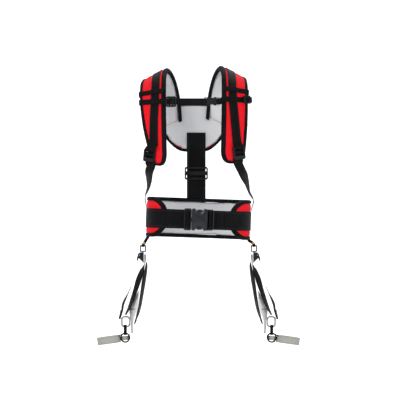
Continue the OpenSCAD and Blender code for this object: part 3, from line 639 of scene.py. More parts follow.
def metal(name, colour, tarnish, rough):
    """Bare or plated metal: scratched by fine noise, duller in patches."""
    material, tree, shader = new_material(name)
    handled = placed(tree, HANDLED)
    handled.inputs["Broad"].default_value, handled.inputs["Fine"].default_value = 90.0, 900.0
    tree.links.new(colour_mix(tree, handled.outputs["Dust"], colour, tarnish), shader.inputs["Base Color"])
    shader.inputs["Metallic"].default_value = 1
    roughness = math_node(tree, "MULTIPLY_ADD", handled.outputs["Grain"], 0.35, rough - 0.15)
    tree.links.new(roughness, shader.inputs["Roughness"])
    bumped(tree, shader, handled.outputs["Grain"], 0.00003)
    return material


# Each cloth's second colour is painted shade, shown between its threads
RED_PAD = cloth("red_pad_cloth", (0.72, 0.009, 0.016), (0.36, 0.003, 0.006), thread=0.0011, rib=0.0011,
                chevron=0.0, rough=0.65, depth=0.0003, dust=0.0, own_uv=False, lining=(0.7, 0.7, 0.71))
BINDING = cloth("black_binding_tape", (0.0036, 0.0036, 0.0042), (0.0008, 0.0008, 0.0008), thread=0.02,
                rib=0.0013, chevron=0.0, rough=0.7, sheen=0.0, depth=0.0003, dust=0.008)
WEBBING = cloth("black_webbing", (0.0034, 0.0034, 0.0038), (0.0006, 0.0006, 0.0006), thread=0.0024,
                rib=0.0019, rough=0.5, sheen=0.0, dust=0.008)
BELT_WEBBING = cloth("black_belt_webbing", (0.0034, 0.0036, 0.0041), (0.0006, 0.0006, 0.0006), thread=0.0028,
                     rib=0.002, rough=0.5, sheen=0.0, dust=0.008,
                     stripe=(STRIPE_OUT * MM, 0.0012, (0.022, 0.022, 0.026)))
GREY_WEBBING = cloth("grey_return_webbing", (0.05, 0.05, 0.045), (0.02, 0.02, 0.018), thread=0.0022,
                     rib=0.0018, dust=0.1)
WHITE_WEBBING = cloth("white_sling_webbing", (0.66, 0.66, 0.63), (0.4, 0.4, 0.37), thread=0.0022,
                      rib=0.0018, dust=0.1)
HAND_WEBBING = cloth("grey_hand_webbing", (0.36, 0.35, 0.315), (0.17, 0.165, 0.145), thread=0.0018,
                     rib=0.0022, dust=0.15)
PLASTIC = moulded("black_moulded_plastic", (0.008, 0.008, 0.009), (0.025, 0.025, 0.027), 0.42)
GLOSS_PLASTIC = moulded("glossy_buckle_plastic", (0.009, 0.0105, 0.013), (0.03, 0.032, 0.037), 0.3, coat=0.35)
BLACK_METAL = metal("black_plated_metal", (0.028, 0.028, 0.03), (0.07, 0.07, 0.07), 0.4)
STEEL = metal("steel", (0.3, 0.3, 0.3), (0.14, 0.135, 0.13), 0.32)
BRASS = metal("brass_rivet", (0.72, 0.34, 0.1), (0.35, 0.16, 0.05), 0.38)
BLACK_THREAD = moulded("black_thread", (0.02, 0.02, 0.022), (0.06, 0.06, 0.06), 0.7)
GREY_THREAD = moulded("grey_thread", (0.2, 0.2, 0.19), (0.3, 0.3, 0.28), 0.7)

# ---- stuffed pads ----
FORM_HEIGHTS = (1.5, 10.5)
FORM_INSET = 4


def round_end(e, half):
    """Half height of a pad with round ends, a distance e from its tip: a quarter circle, then level."""
    return np.where(e >= half, half, half * np.sqrt(np.maximum(0, 1 - (1 - e / half) ** 2)))


def stuffed_form(name, place, at, low, high, bottom, top, sides=28):
    """A closed form before it is filled: squared ellipses from low to high across, and bottom to top out."""
    a = np.linspace(0, 2 * math.pi, sides, endpoint=False)
    wide, deep = squared(np.cos(a), 0.55), squared(np.sin(a), 0.55)
    across = (low + high)[:, None] / 2 + (high - low)[:, None] / 2 * wide
    out = np.broadcast_to((bottom + top) / 2 + (top - bottom) / 2 * deep, across.shape)
    along = np.broadcast_to(at[:, None], across.shape)
    points = place(along.ravel(), across.ravel(), out.ravel())
    return piece_from(name, points, ring_faces(len(at), sides))


def evaluated_mesh(piece):
    """The mesh that a piece's modifiers give."""
    graph = bpy.context.evaluated_depsgraph_get()
    return bpy.data.meshes.new_from_object(piece.evaluated_get(graph))


def coordinates(mesh):
    """A mesh's points in metres, one row each."""
    co = np.zeros(len(mesh.vertices) * 3, np.float32)
    mesh.vertices.foreach_get("co", co)
    return co.reshape(-1, 3).astype(float)


def apply_modifiers(piece):
    """Puts what the modifiers give in place of the piece's own mesh."""
    mesh = evaluated_mesh(piece)
    piece.modifiers.clear()
    piece.data = mesh


def fill(pieces, voxel=4.2, most=3.5, frames=20):
    """Fills the pads together: voxel remesh, then Cloth with pressure and no gravity, then one subdivision.

    No point moves further than most.
    """
    for piece in pieces:
        remesh = piece.modifiers.new("remesh", "REMESH")
        remesh.mode, remesh.voxel_size = "VOXEL", voxel * MM
        apply_modifiers(piece)
    for piece in pieces:
        cloth_part = piece.modifiers.new("filling", "CLOTH")
        cloth_part.settings.use_pressure = True
        cloth_part.settings.uniform_pressure_force = 4
        cloth_part.settings.effector_weights.gravity = 0
        cloth_part.point_cache.frame_start, cloth_part.point_cache.frame_end = 1, frames
    for k in range(1, frames + 1):
        bpy.context.scene.frame_set(k)
    for piece in pieces:
        blown = coordinates(evaluated_mesh(piece))
        piece.modifiers.clear()
        start = coordinates(piece.data)
        move = blown - start
        size = np.linalg.norm(move, axis=1, keepdims=True)
        move *= np.minimum(1, most * MM / np.maximum(size, 1e-9))
        piece.data.vertices.foreach_set("co", (start + move).astype(np.float32).ravel())
    bpy.context.scene.frame_set(1)
    for piece in pieces:
        smoother = piece.modifiers.new("smoother", "SUBSURF")
        smoother.levels = smoother.render_levels = 1
        apply_modifiers(piece)
        piece.data.polygons.foreach_set("use_smooth", np.ones(len(piece.data.polygons), bool))


def mark_lining(piece, share):
    """The side of a pad that lies on the body is another cloth: share is 0 outside and 1 inside."""
    layer = piece.data.attributes.new("lining", "FLOAT", "POINT")
    layer.data.foreach_set("value", share.astype(np.float32))


def sew_down(piece, height_of, limit_of, seam=5.5):
    """Presses the front of a filled pad under its webbing, tape and seams.

    height_of gives each point's height, its normal and its place. The new height is at most limit_of(place),
    and six tenths of the way up to it where the filling is lower. The change sets in between 3 and 8 mm up.
    The back stays 0.4 mm off the body, and is lining below the seam.
    """
    points = coordinates(piece.data) / MM
    height, normal, place = height_of(points)
    limit = limit_of(*place)
    front = ease(3, 8, height)
    pressed = np.minimum(limit, 0.4 * height + 0.6 * limit)
    new = np.where(front > 0, height + (pressed - height) * front, np.maximum(height, 0.4))
    points += normal * (new - height)[:, None]
    piece.data.vertices.foreach_set("co", (points * MM).astype(np.float32).ravel())
    mark_lining(piece, 1 - ease(seam - 0.5, seam + 0.5, height))
    piece.data.update()


def nearest_on(place, first, second):
    """A way to find the nearest of a grid of places on a surface, measured to the middle of a pad's thickness.

    For points it gives their heights above the surface, the normals there, and the two grid values.
    """
    u, f = (g.ravel() for g in np.meshgrid(first, second, indexing="ij"))
    base, middle = place(u, f, np.zeros_like(u)), place(u, f, np.full_like(u, PAD_T / 2))
    normal = unit(middle - base)

    def look(points):
        found = np.concatenate([
            np.argmin(((part[:, None] - middle[None]) ** 2).sum(-1), axis=1)
            for part in np.array_split(points, max(1, len(points) // 1000))])
        height = np.sum((points - base[found]) * normal[found], axis=1)
        return height, normal[found], (u[found], f[found], points)
    return look


def pad_rows(inset, ends=8, middle=60):
    """Rows along a shoulder pad: even turns of a quarter circle at its round lower end, then even steps."""
    k = np.arange(1, ends + 1) / ends
    first = (inset + (PAD_END - inset) * (1 - np.cos(math.pi / 2 * k))) / ROW_STEP
    return np.concatenate([first, np.linspace(PAD_END / ROW_STEP, TOP_U, middle)[1:]])


def pad_reach(s, u, inset):
    """Share of the pad's width from its middle to a line inset from the edge, narrowing round the lower end."""
    e = np.maximum(u * ROW_STEP - inset, 0)
    round_share = round_end(e, PAD_END - inset) / (PAD_END - inset)
    return (0.5 - inset / pad_width(s, u)) * round_share


def shoulder_limit(s):
    """Height of the sewn shoulder pad: the least of four, with a pucker beside the webbing.

    It is low at the tape, pressed under the webbing and under the keepers, and full between them. The pucker
    is a sine along the pad, fading as a bell from 2 mm off the webbing's edge.
    """
    def limit(u, f, points):
        width = pad_width(s, u)
        from_web = np.abs(f - web_share(u)) * width - WEB_W / 2
        to_edge = np.minimum(np.minimum(f, 1 - f) * width, u * ROW_STEP)
        full = np.interp(to_edge, [0, 4, 9, 13, 18], [8.5, 10.2, 11.5, 13.0, 14.0])
        beside = np.where(u > 0.9, np.interp(from_web, [-2, 0, 2, 8], [11.5, 11.6, 12.2, 14.2]), 14.2)
        pucker = 0.22 * np.sin(points[:, 2] * 2 * math.pi / 7.5) * np.exp(-((from_web - 2) / 3) ** 2)
        keeper = np.minimum(np.abs(u - KEEPER_U), np.abs(u - STERNUM_U)) * ROW_STEP
        held = np.interp(keeper, [KEEPER_W / 2 - 1, KEEPER_W / 2 + 7], [12.0, 14.5])
        return np.minimum(np.minimum(full, beside), held) + pucker
    return limit


def make_shoulder_form(side, s):
    """The shoulder pad's form, a little inside its outline."""
    u = pad_rows(FORM_INSET)
    reach = pad_reach(s, u, FORM_INSET)
    return stuffed_form(f"shoulder_pad_{side}_stuffed", functools.partial(on_pad, s), u, 0.5 - reach,
                        0.5 + reach, *FORM_HEIGHTS)


def make_belt_form():
    """The belt pad's form, a little inside its outline, with quarter circles at its two ends."""
    half, start = BELT_H / 2 - FORM_INSET, BELT_GAP + FORM_INSET
    total = 2 * HALF_RING - 2 * start
    tip = half * (1 - np.cos(np.linspace(0.1, 1, 10) * math.pi / 2))
    e = np.concatenate([tip, np.linspace(half, total - half, 100)[1:-1], total - tip[::-1]])
    h = round_end(np.minimum(e, total - e), half)
    return stuffed_form("belt_pad_stuffed", on_belt, start + e, BELT_RISE - h, BELT_RISE + h,
                        *FORM_HEIGHTS)


def belt_height(points):
    """Height above the waist: distance to the rounded rectangle of the body, and the normal of it."""
    flat = level(points)
    out = np.stack([np.maximum(np.abs(flat[:, 0]) - FLAT, 0) * np.sign(flat[:, 0]),
                    np.maximum(np.abs(flat[:, 1]) - SIDE, 0) * np.sign(flat[:, 1]), flat[:, 2] * 0], 1)
    normal = tilted(unit(out + 1e-9))
    return np.linalg.norm(out, axis=1) - WAIST_R, normal, (flat,)


def belt_limit(flat):
    """Height of the sewn belt pad: the lesser of two, with a pucker beside the webbing.

    It is low at the tape, pressed under the webbing and full above and below it. The pucker is a sine round the
    waist, fading as a bell from 2 mm off the webbing's edge.
    """
    half = BELT_H / 2
    tip_x = on_belt(BELT_GAP + half, 0, PAD_T)[0, 0]
    ahead = np.where(flat[:, 1] < -20, np.maximum(tip_x - np.abs(flat[:, 0]), 0), 0)
    to_edge = half - np.hypot(ahead * 1.08, flat[:, 2] - BELT_RISE)
    full = np.interp(to_edge, [0, 4, 9, 14, 20], [8.5, 10.2, 11.5, 13.2, 14.0])
    from_web = np.abs(flat[:, 2]) - BELT_WEB / 2
    along = np.arctan2(flat[:, 1], flat[:, 0]) * WAIST_W
    pucker = 0.2 * np.sin(along * 2 * math.pi / 8) * np.exp(-((from_web - 2) / 3) ** 2)
    return np.minimum(full, np.interp(from_web, [-2, 0, 2, 9], [11.4, 11.5, 12.2, 14.2])) + pucker


def yoke_reach(u, inset):
    """Share of the yoke's width from its middle to the inset outline: a squared ellipse."""
    along = np.abs(u - YOKE_MID_ROW) / (YOKE_MID_ROW - inset / YOKE_ROW_STEP)
    return (0.5 - inset / YOKE_SPAN) * np.maximum(1 - along ** (1 / YOKE_SQUARE), 0) ** YOKE_SQUARE


def make_yoke_form():
    """The yoke's form, inside its outline, with rows closer together at both ends."""
    turn = np.linspace(0.03, math.pi - 0.03, 48)
    u = YOKE_MID_ROW - (YOKE_MID_ROW - YOKE_INSET / YOKE_ROW_STEP) * np.cos(turn)
    reach = yoke_reach(u, YOKE_INSET)
    return stuffed_form("back_yoke_stuffed", on_yoke, u, 0.5 - reach, 0.5 + reach, -YOKE_T + 0.6, -0.8)


def yoke_limit(u, f, points):
    """Height of the quilted yoke above its inner face: low at each seam and at the edge, full between them."""
    from_seam = QUILT_STEP * (0.5 - np.abs(np.mod(u * YOKE_ROW_STEP / QUILT_STEP + 0.25, 1) - 0.5))
    edge = np.minimum(np.minimum(f, 1 - f) * YOKE_SPAN, np.minimum(u, YOKE_END_ROW - u) * YOKE_ROW_STEP)
    quilted = np.interp(from_seam, [0, 1.5, 6], [6.0, 7.6, 10.0])
    return np.minimum(quilted, np.interp(edge, [0, 4, 12], [5, 7, 10]))


def make_pads():
    """All the stuffed pads are filled together, then each is sewn down."""
    forms = {side: make_shoulder_form(side, s) for side, s in SIDES.items()}
    belt, yoke = make_belt_form(), make_yoke_form()
    fill([*forms.values(), belt, yoke])
    for side, s in SIDES.items():
        look = nearest_on(functools.partial(on_pad, s), np.linspace(0.05, TOP_U, 170), np.linspace(0, 1, 20))
        sew_down(forms[side], look, shoulder_limit(s))
        finish_piece(forms[side], "harness", "red_pad", RED_PAD, f"shoulder_pad_{side}")
    sew_down(belt, belt_height, belt_limit)
    finish_piece(belt, "harness", "red_pad", RED_PAD, "belt_pad")
    look = nearest_on(in_yoke, np.linspace(0, YOKE_END_ROW, 60), np.linspace(0, 1, 60))
    sew_down(yoke, look, yoke_limit, seam=2.5)
    finish_piece(yoke, "harness", "red_pad", RED_PAD, "back_yoke")


make_pads()

# ---- binding tape ----
# The tape's section round a pad's edge: share of its width in from the edge, share of the pad's thickness
TAPE_SECTION = np.array([
    [1, 0.99], [1, 1.04], [0.75, 1.085], [0.45, 1.08], [0.2, 1.01], [0.05, 0.88], [-0.04, 0.7], [-0.06, 0.5],
    [-0.04, 0.3], [0.05, 0.13], [0.2, 0.02], [0.45, -0.03], [0.75, -0.03], [1, 0.01], [1, 0.5]])


def tape(name, place, outer, inner, thick, closed, *nodes):
    """Binding and its two rows of stitches: a section between two lines, rolled round the pad's edge.

    Its height ripples by the sum of two sines along the edge.
    """
    w, t = TAPE_SECTION[:, 0], TAPE_SECTION[:, 1] * thick
    line = place(outer[:, 0], outer[:, 1], np.full(len(outer), thick / 2))
    s = lengths(line)
    ripple = 0.16 * np.sin(s / 6.1) + 0.12 * np.sin(s / 2.7 + 1)
    spot = outer[:, None] * (1 - w)[None, :, None] + inner[:, None] * w[None, :, None]
    high = t[None, :] + ripple[:, None] * (np.abs(t - thick / 2) > thick * 0.3)
    points = place(spot[..., 0].ravel(), spot[..., 1].ravel(), high.ravel())
    around = lengths(np.stack([w * BIND_W, t], 1))
    uv = np.stack([np.broadcast_to(around, high.shape), np.broadcast_to(s[:, None], high.shape)], -1)
    total = s[-1] + np.linalg.norm(line[0] - line[-1])
    piece = piece_from(name, points, ring_faces(len(outer), len(w), closed), uv.reshape(-1, 2),
                       (total, len(w)) if closed else None)
    finish_piece(piece, "harness", "black_binding", BINDING, *nodes)
    seam = outer * 0.16 + inner * 0.84
    for label, t_seam, off in (("front", thick * 1.065, 1), ("back", -0.03 * thick, -1)):
        path = place(seam[:, 0], seam[:, 1], np.full(len(seam), t_seam))
        up = place(seam[:, 0], seam[:, 1], np.full(len(seam), t_seam + off)) - path
        if closed:
            path, up = np.concatenate([path, path[:1]]), np.concatenate([up, up[:1]])
        thread = stitching(f"{name}_stitching_{label}", path, up)
        finish_piece(thread, "harness", "black_binding", BLACK_THREAD)


def shoulder_edge(s, inset):
    """Line round a shoulder pad at an inset: down one edge, round the lower end and up the other."""
    u = pad_rows(inset, 12, 110)
    reach = pad_reach(s, u, inset)
    down = np.stack([u, 0.5 - reach], 1)[::-1]
    tip = np.array([[inset / ROW_STEP + 0.004, 0.5]])
    return np.concatenate([down, tip, np.stack([u, 0.5 + reach], 1)])


def belt_edge(inset):
    """Line round the belt pad at an inset: two half circles joined by straights, from the back's middle."""
    half = BELT_H / 2 - inset
    q0, q1 = BELT_GAP + inset, 2 * HALF_RING - BELT_GAP - inset
    a = np.linspace(0, math.pi, 25)
    straight = np.linspace(q0 + half, q1 - half, 140)[1:-1]
    tip = np.stack([q0 + half - half * np.sin(a), half * np.cos(a)], 1)
    far_tip = np.stack([q1 - half + half * np.sin(a), -half * np.cos(a)], 1)
    low = np.stack([straight, straight * 0 - half], 1)
    high = np.stack([straight[::-1], straight * 0 + half], 1)
    line = np.concatenate([tip, low, far_tip, high]) + np.array([0, BELT_RISE])
    return np.roll(line, -94, axis=0)


def yoke_edge(inset):
    """Line round the yoke at an inset: a squared ellipse in rows and shares."""
    a = np.linspace(0, 2 * math.pi, 160, endpoint=False)
    tall, wide = YOKE_MID_ROW - inset / YOKE_ROW_STEP, 0.5 - inset / YOKE_SPAN
    return np.stack([YOKE_MID_ROW + tall * squared(np.cos(a), 2 * YOKE_SQUARE),
                     0.5 + wide * squared(np.sin(a), 2 * YOKE_SQUARE)], 1)


def make_tapes():
    """Tape round every pad's edge."""
    for side, s in SIDES.items():
        tape(f"shoulder_binding_{side}_tape", functools.partial(on_pad, s), shoulder_edge(s, 0),
             shoulder_edge(s, BIND_W), PAD_T, False, f"shoulder_binding_{side}")
    tape("belt_binding_tape", on_belt, belt_edge(0), belt_edge(BIND_W), PAD_T, True, "belt_binding")
    tape("yoke_binding_tape", in_yoke, yoke_edge(0), yoke_edge(BIND_W), YOKE_T, True)


make_tapes()

# ---- webbing on the shoulders ----
WEB_LOW_U = 1.22
SEAM_INSET = 2.2


def pad_across(s, u, f, step=0.02):
    """Direction across a shoulder pad: from a step below a share of its width to a step above."""
    return unit(on_pad(s, u, f + step, WEB_MID) - on_pad(s, u, f - step, WEB_MID))


def make_shoulder_webbing(side, s):
    """Webbing sewn down the pad along its share of the width, with a row of stitches near each edge."""
    u = np.linspace(WEB_LOW_U, TOP_U - 0.2, 130)
    path, across = on_pad(s, u, web_share(u), WEB_MID), pad_across(s, u, web_share(u))
    piece = ribbon(f"shoulder_webbing_{side}_strap", path, across, WEB_W)
    finish_piece(piece, "harness", "black_webbing", WEBBING, f"shoulder_webbing_{side}")
    up = unit(np.cross(across, unit(np.gradient(path, axis=0))))
    up = up if up[5, 1] < 0 else -up
    for label, off in (("a", -1), ("b", 1)):
        line = path + across * off * (WEB_W / 2 - SEAM_INSET) + up * WEB_T / 2
        thread = stitching(f"shoulder_webbing_seam_{side}_{label}", line, up)
        finish_piece(thread, "harness", "black_webbing", BLACK_THREAD)


def make_lock_loop(side, s):
    """The shoulder webbing's end, round the ladder lock's top bar and back under itself."""
    f = web_share(WEB_LOW_U)
    here = on_pad(s, 1.5, web_share(1.5), WEB_MID + 0.1)
    under = on_pad(s, 1.55, web_share(1.55), WEB_MID - 1.3)
    bar = on_lock(s, [[0, -4.2, 3], [0, -4.5, -1], [0, -3.2, -4.6], [0, 0.4, -5.6], [0, 3.9, -4],
                      [0, 4.2, 0], [0, 3.6, 4]])
    path = through(np.concatenate([here, on_pad(s, WEB_LOW_U + 0.05, f, WEB_MID + 1.2), bar, under]), 1.6)
    along = np.linspace(0, 1, len(path))[:, None]
    share = ease(0.05, 0.3, along) * (1 - ease(0.85, 1, along))
    on_its_pad, on_its_lock = pad_across(s, 1.5, f), mirrored(lock_axes(s)[:, 0], s)
    on_its_lock = on_its_lock * np.sign(np.dot(on_its_pad[0], on_its_lock))
    across = on_its_pad * (1 - share) + on_its_lock * share
    finish_piece(ribbon(f"lock_loop_{side}", path, across, WEB_W - 0.8), "harness", "black_webbing", WEBBING)


def keeper_path(s, u, start, stop):
    """Over the webbing and the pad from edge to edge, tucked round the tape at each end."""
    f = np.linspace(start, stop, 90)
    width = float(pad_width(s, u)[0])
    from_web = np.abs(f - web_share(u)) * width - WEB_W / 2
    high = np.interp(from_web, [-1, 0.5, 5], [OVER_MID + 0.3, OVER_MID, 13.6])
    to_edge = np.minimum(f - start, stop - f) * width
    high = np.where(to_edge < 8, np.interp(to_edge, [0, 0.6, 1.6, 3.4, 8], [6.5, 10.6, 12.8, 13.9, 14.1]), high)
    return evenly(on_pad(s, u, f, high), 2.0)[0]


def along_pad(s, u):
    """Direction along the middle of a shoulder pad at row u."""
    return unit(on_pad(s, u + 0.1, 0.5, 0) - on_pad(s, u - 0.1, 0.5, 0))[0]


def make_keeper(name, s, u, *nodes):
    """Thin webbing across a shoulder pad, from a little past one edge to a little past the other."""
    path = keeper_path(s, u, -0.03, 1.03)
    piece = ribbon(name, path, all_along(path, along_pad(s, u)), KEEPER_W, THIN_WEB_T)
    finish_piece(piece, "harness", "black_webbing", WEBBING, *nodes)


def make_shoulder_straps():
    """Everything sewn onto the shoulder pads."""
    for side, s in SIDES.items():
        make_shoulder_webbing(side, s)
        make_lock_loop(side, s)
        make_keeper(f"pad_keeper_{side}", s, KEEPER_U, *(["pad_keepers"] if s > 0 else []))
        make_keeper(f"sternum_keeper_{side}_strap", s, STERNUM_U, f"sternum_keeper_{side}")


make_shoulder_straps()

# ---- lower straps, through the ladder locks to the belt ----


def lower_rows(s):
    """Both edges of a lower strap, from under its lock to the belt's side, for the right before mirroring."""
    drop, dz, toe, dx = -s * math.sin(BELT_TILT) * WAIST_W, LIFT[s], PAD_TOE[s], LEAN * s
    rim = BELT_WEB / 2 + 4 + drop
    side_x, lean_x = WAIST_W + PAD_T, s * math.sin(BELT_TILT)
    x5, x6 = side_x + 6 + lean_x * BELT_TOP, side_x + 2.4 + lean_x * rim
    return np.array([
        [101 + dx - 0.2 * toe, -109 - PAD_T, 144 + dz, 125 + dx - 0.2 * toe, -98 - PAD_T, 146 + dz],
        [112 + dx * 0.6, -92 - PAD_T, 122, 131 + dx * 0.6, -74 - PAD_T, 125],
        [123 + dx * 0.2, -66, 98, 133 + dx * 0.2, -44, 103],
        [WAIST_W + 8, -34, BELT_TOP + 21 + drop, WAIST_W + 12, -8, BELT_TOP + 24 + drop],
        [x5, -6, BELT_TOP - 1 + drop, x5, 19, BELT_TOP + drop],
        [x6, 6, rim, x6, 31, rim]])


def make_lower_strap(side, s):
    """Webbing sewn to the belt, up through the ladder lock and down behind itself: one smooth curve of rows."""
    rows = lower_rows(s)
    in_lock = [[0, 4.4, -33], [0, 4.2, -25], [0, 2.2, -20.5], [0, -2.2, -16.6], [0, -4.4, -12.6],
               [0, -2.2, -8.6], [0, 2.0, -7.6], [0, 4.8, -11], [0, 6.3, -18], [0, 6.6, -30], [0, 7.4, -42]]
    middle = mirrored((rows[:, :3] + rows[:, 3:]) / 2, s)
    across = mirrored(unit(rows[:, 3:] - rows[:, :3]), s)
    lock_side = mirrored(lock_axes(s)[:, 0], s)
    path = np.concatenate([middle[::-1], on_lock(s, in_lock)])
    sides = np.concatenate([across[::-1], all_along(in_lock, lock_side)])
    u = np.linspace(0, len(path) - 1, 30 * len(path))
    path, sides = evenly(spline(path, u), 2.2, spline(sides, u))
    piece = ribbon(f"lower_strap_{side}_webbing", path, sides, WEB_W - 0.6)
    finish_across(piece, ("harness", f"lock_{side}"), middle[1], on_lock(s, [[0, 4, -31]])[0], "black_webbing",
                  WEBBING, f"lower_strap_{side}")


for side_name, sign in SIDES.items():
    make_lower_strap(side_name, sign)

# ---- belt webbing and its buckle ----


def on_front(points):
    """Points given flat in front of the belly, as x and y, on the tilted belt."""
    points = np.asarray(points, float)
    return tilted(np.stack([points[:, 0], points[:, 1], points[:, 0] * 0], 1))


UP_BELT = tilted(np.array([[0, 0, 1.0]]))[0]


def belt_relief(c, s):
    """A raised cord along each edge stripe: height falls off as a bell either side of it."""
    return 0.16 * np.exp(-((np.abs(c) - STRIPE_OUT) / 0.9) ** 2)


def wide_webbing(name, path):
    """The belt's webbing along a path, upright on the tilted belt."""
    return ribbon(name, path, all_along(path, UP_BELT), BELT_WEB, relief=belt_relief)


def buckle_loop(name, points, body, *nodes):
    """Wide webbing round a buckle's bar, through points given flat in front of the belly."""
    piece = wide_webbing(name, through(on_front(points), 1.5))
    finish_piece(piece, body, "black_webbing", BELT_WEBBING, *nodes)


def make_belt_webbing():
    """The belt's webbing: round the back, from the left side to the buckle, and a loop at each of its bars."""
    split = 2 * HALF_RING - FLAT - ARC - SIDE
    round_back, front_left = (
        wide_webbing(name, on_belt(np.linspace(a, b, max(20, int((b - a) / 3))), 0, WEB_MID))
        for name, a, b in (("belt_webbing_round_back", 31, split),
                           ("belt_webbing_front_left", split, 2 * HALF_RING - 27.5)))
    finish_piece(round_back, "harness", "black_webbing", BELT_WEBBING, "belt_webbing")
    finish_across(front_left, ("harness", "waist_male"), (-100, -105, 0), (-45, -105, 0), "black_webbing",
                  BELT_WEBBING)
    y = -BELT_FACE - GAP - WEB_T / 2
    bar = BUCKLE_Y - 5.6
    right = [[66, y], [52, y], [42, y - 0.3], [37.4, y - 2.4], [35.2, y - 6], [33.6, bar + 1],
             [30.4, bar - 0.6], [27.6, bar + 1.4], [26.2, y - 5.4], [23, y - 1.6], [17, y]]
    left = [[-80, y], [-60, y], [-43, y - 0.2], [-37, y - 1.6], [-33.2, y - 5.6], [-31.4, bar + 1.2],
            [-28.3, bar - 0.2], [-25.4, bar + 1.4], [-24.2, y - 5.2], [-21.6, y - 1.6], [-19.4, y - 0.6]]
    buckle_loop("belt_loop_right", right, "harness")
    buckle_loop("belt_tail_loop", left, "waist_male", "belt_tail")
    for x in (64, 60):
        z = np.linspace(-22, 22, 30)
        path = on_front(np.stack([z * 0 + x, z * 0 + y - WEB_T / 2], 1)) + UP_BELT * z[:, None]
        thread = stitching(f"belt_cross_seam_{x}", path, all_along(path, [0, -1, 0]))
        finish_piece(thread, "harness", "black_webbing", BLACK_THREAD)


make_belt_webbing()


def buckle_face(name, place, h, y, z, body, material):
    """Crowned face of a buckle's housing: a grid that follows the two finger scoops.

    Its half height is the housing's less the scoop circle. It stands out by 1 less v to the 2.4, times 1 less
    half of w to the 4th, where v runs up and w along, both from -1 to 1.
    """
    length, thick = 0.5 * h + 11, 0.15 * h + 4.6
    u, v = np.linspace(0.02, 0.985, 40), np.linspace(-1, 1, 33)
    x = u * length
    scoop = np.sqrt(np.maximum((0.206 * h) ** 2 - (x - 0.52 * length) ** 2, 0))
    half = np.minimum(0.485 * h, 0.53 * h - scoop - 0.004 * h)
    w = 2 * u - 1
    crown = 0.05 * h * (1 - np.abs(v[None]) ** 2.4) * (1 - 0.5 * w[:, None] ** 4)
    edge = 0.35 * (1 - np.maximum(np.abs(v[None]) ** 12, np.abs(w[:, None]) ** 16))
    front = np.stack(np.broadcast_arrays(x[:, None], -thick / 2 + 0.2 - crown - edge, half[:, None] * v), -1)
    back = np.stack(np.broadcast_arrays(x[:, None], -thick / 2 + 0.6, half[:, None] * v[::-1]), -1)
    rings = np.concatenate([front, back], 1)
    points = place(rings.reshape(-1, 3), y, z)
    piece = piece_from(name, points, ring_faces(len(u), 2 * len(v)), sharp=60)
    finish_piece(piece, body, "black_plastic", material)


def waist_spot(p, y, z):
    """Points given from the waist buckle's mouth, on the tilted belt."""
    return tilted(p + np.array([-WAIST_MOUTH, y, z]))


def sternum_spot(p, y, z):
    """Points given from the sternum buckle's mouth."""
    return p + np.array([STERNUM_MOUTH, y, z])


buckle_face("waist_buckle_face", waist_spot, WAIST_BUCKLE_H, BUCKLE_Y, 0, "harness", GLOSS_PLASTIC)
buckle_face("sternum_buckle_face", sternum_spot, STERNUM_BUCKLE_H, STERNUM_BUCKLE_Y, STERNUM_Z, "harness",
            PLASTIC)


def prong_grip(name, s, body):
    """Lens-shaped thumb face of a prong, seen in the housing's scoop.

    It lies between the scoop's circle and a shallow parabola, and thins as the fourth power to each end.
    """
    h = WAIST_BUCKLE_H
    r, middle, half = 0.2 * h, 0.52 * (0.5 * h + 11), 9.5
    d = np.linspace(-half, half, 31)[:, None]
    low = 0.53 * h - np.sqrt(r**2 - d**2) + 0.6
    high = np.maximum(0.456 * h - 0.0125 * d**2, low + 0.1)
    a = np.linspace(0, 2 * math.pi, 20, endpoint=False)
    z = (low + high) / 2 + (high - low) / 2 * squared(np.sin(a), 0.6)
    y = 4.55 * (1 - 0.35 * (d / half) ** 4) * squared(np.cos(a), 0.6)
    points = np.stack(np.broadcast_arrays(middle + d, y, s * z), -1).reshape(-1, 3)
    piece = piece_from(name, waist_spot(points, BUCKLE_Y, 0), ring_faces(len(d), len(a)), sharp=60)
    finish_piece(piece, body, "black_plastic", GLOSS_PLASTIC)


prong_grip("waist_prong_grip_upper", 1, "waist_upper_prong")
prong_grip("waist_prong_grip_lower", -1, "waist_lower_prong")

# ---- sternum strap ----


def level_webbing(name, points, step=1.5, width=STERNUM_WEB):
    """Thin webbing standing upright, through points."""
    path = through(points, step)
    return ribbon(name, path, all_along(path, [0, 0, 1]), width, THIN_WEB_T)


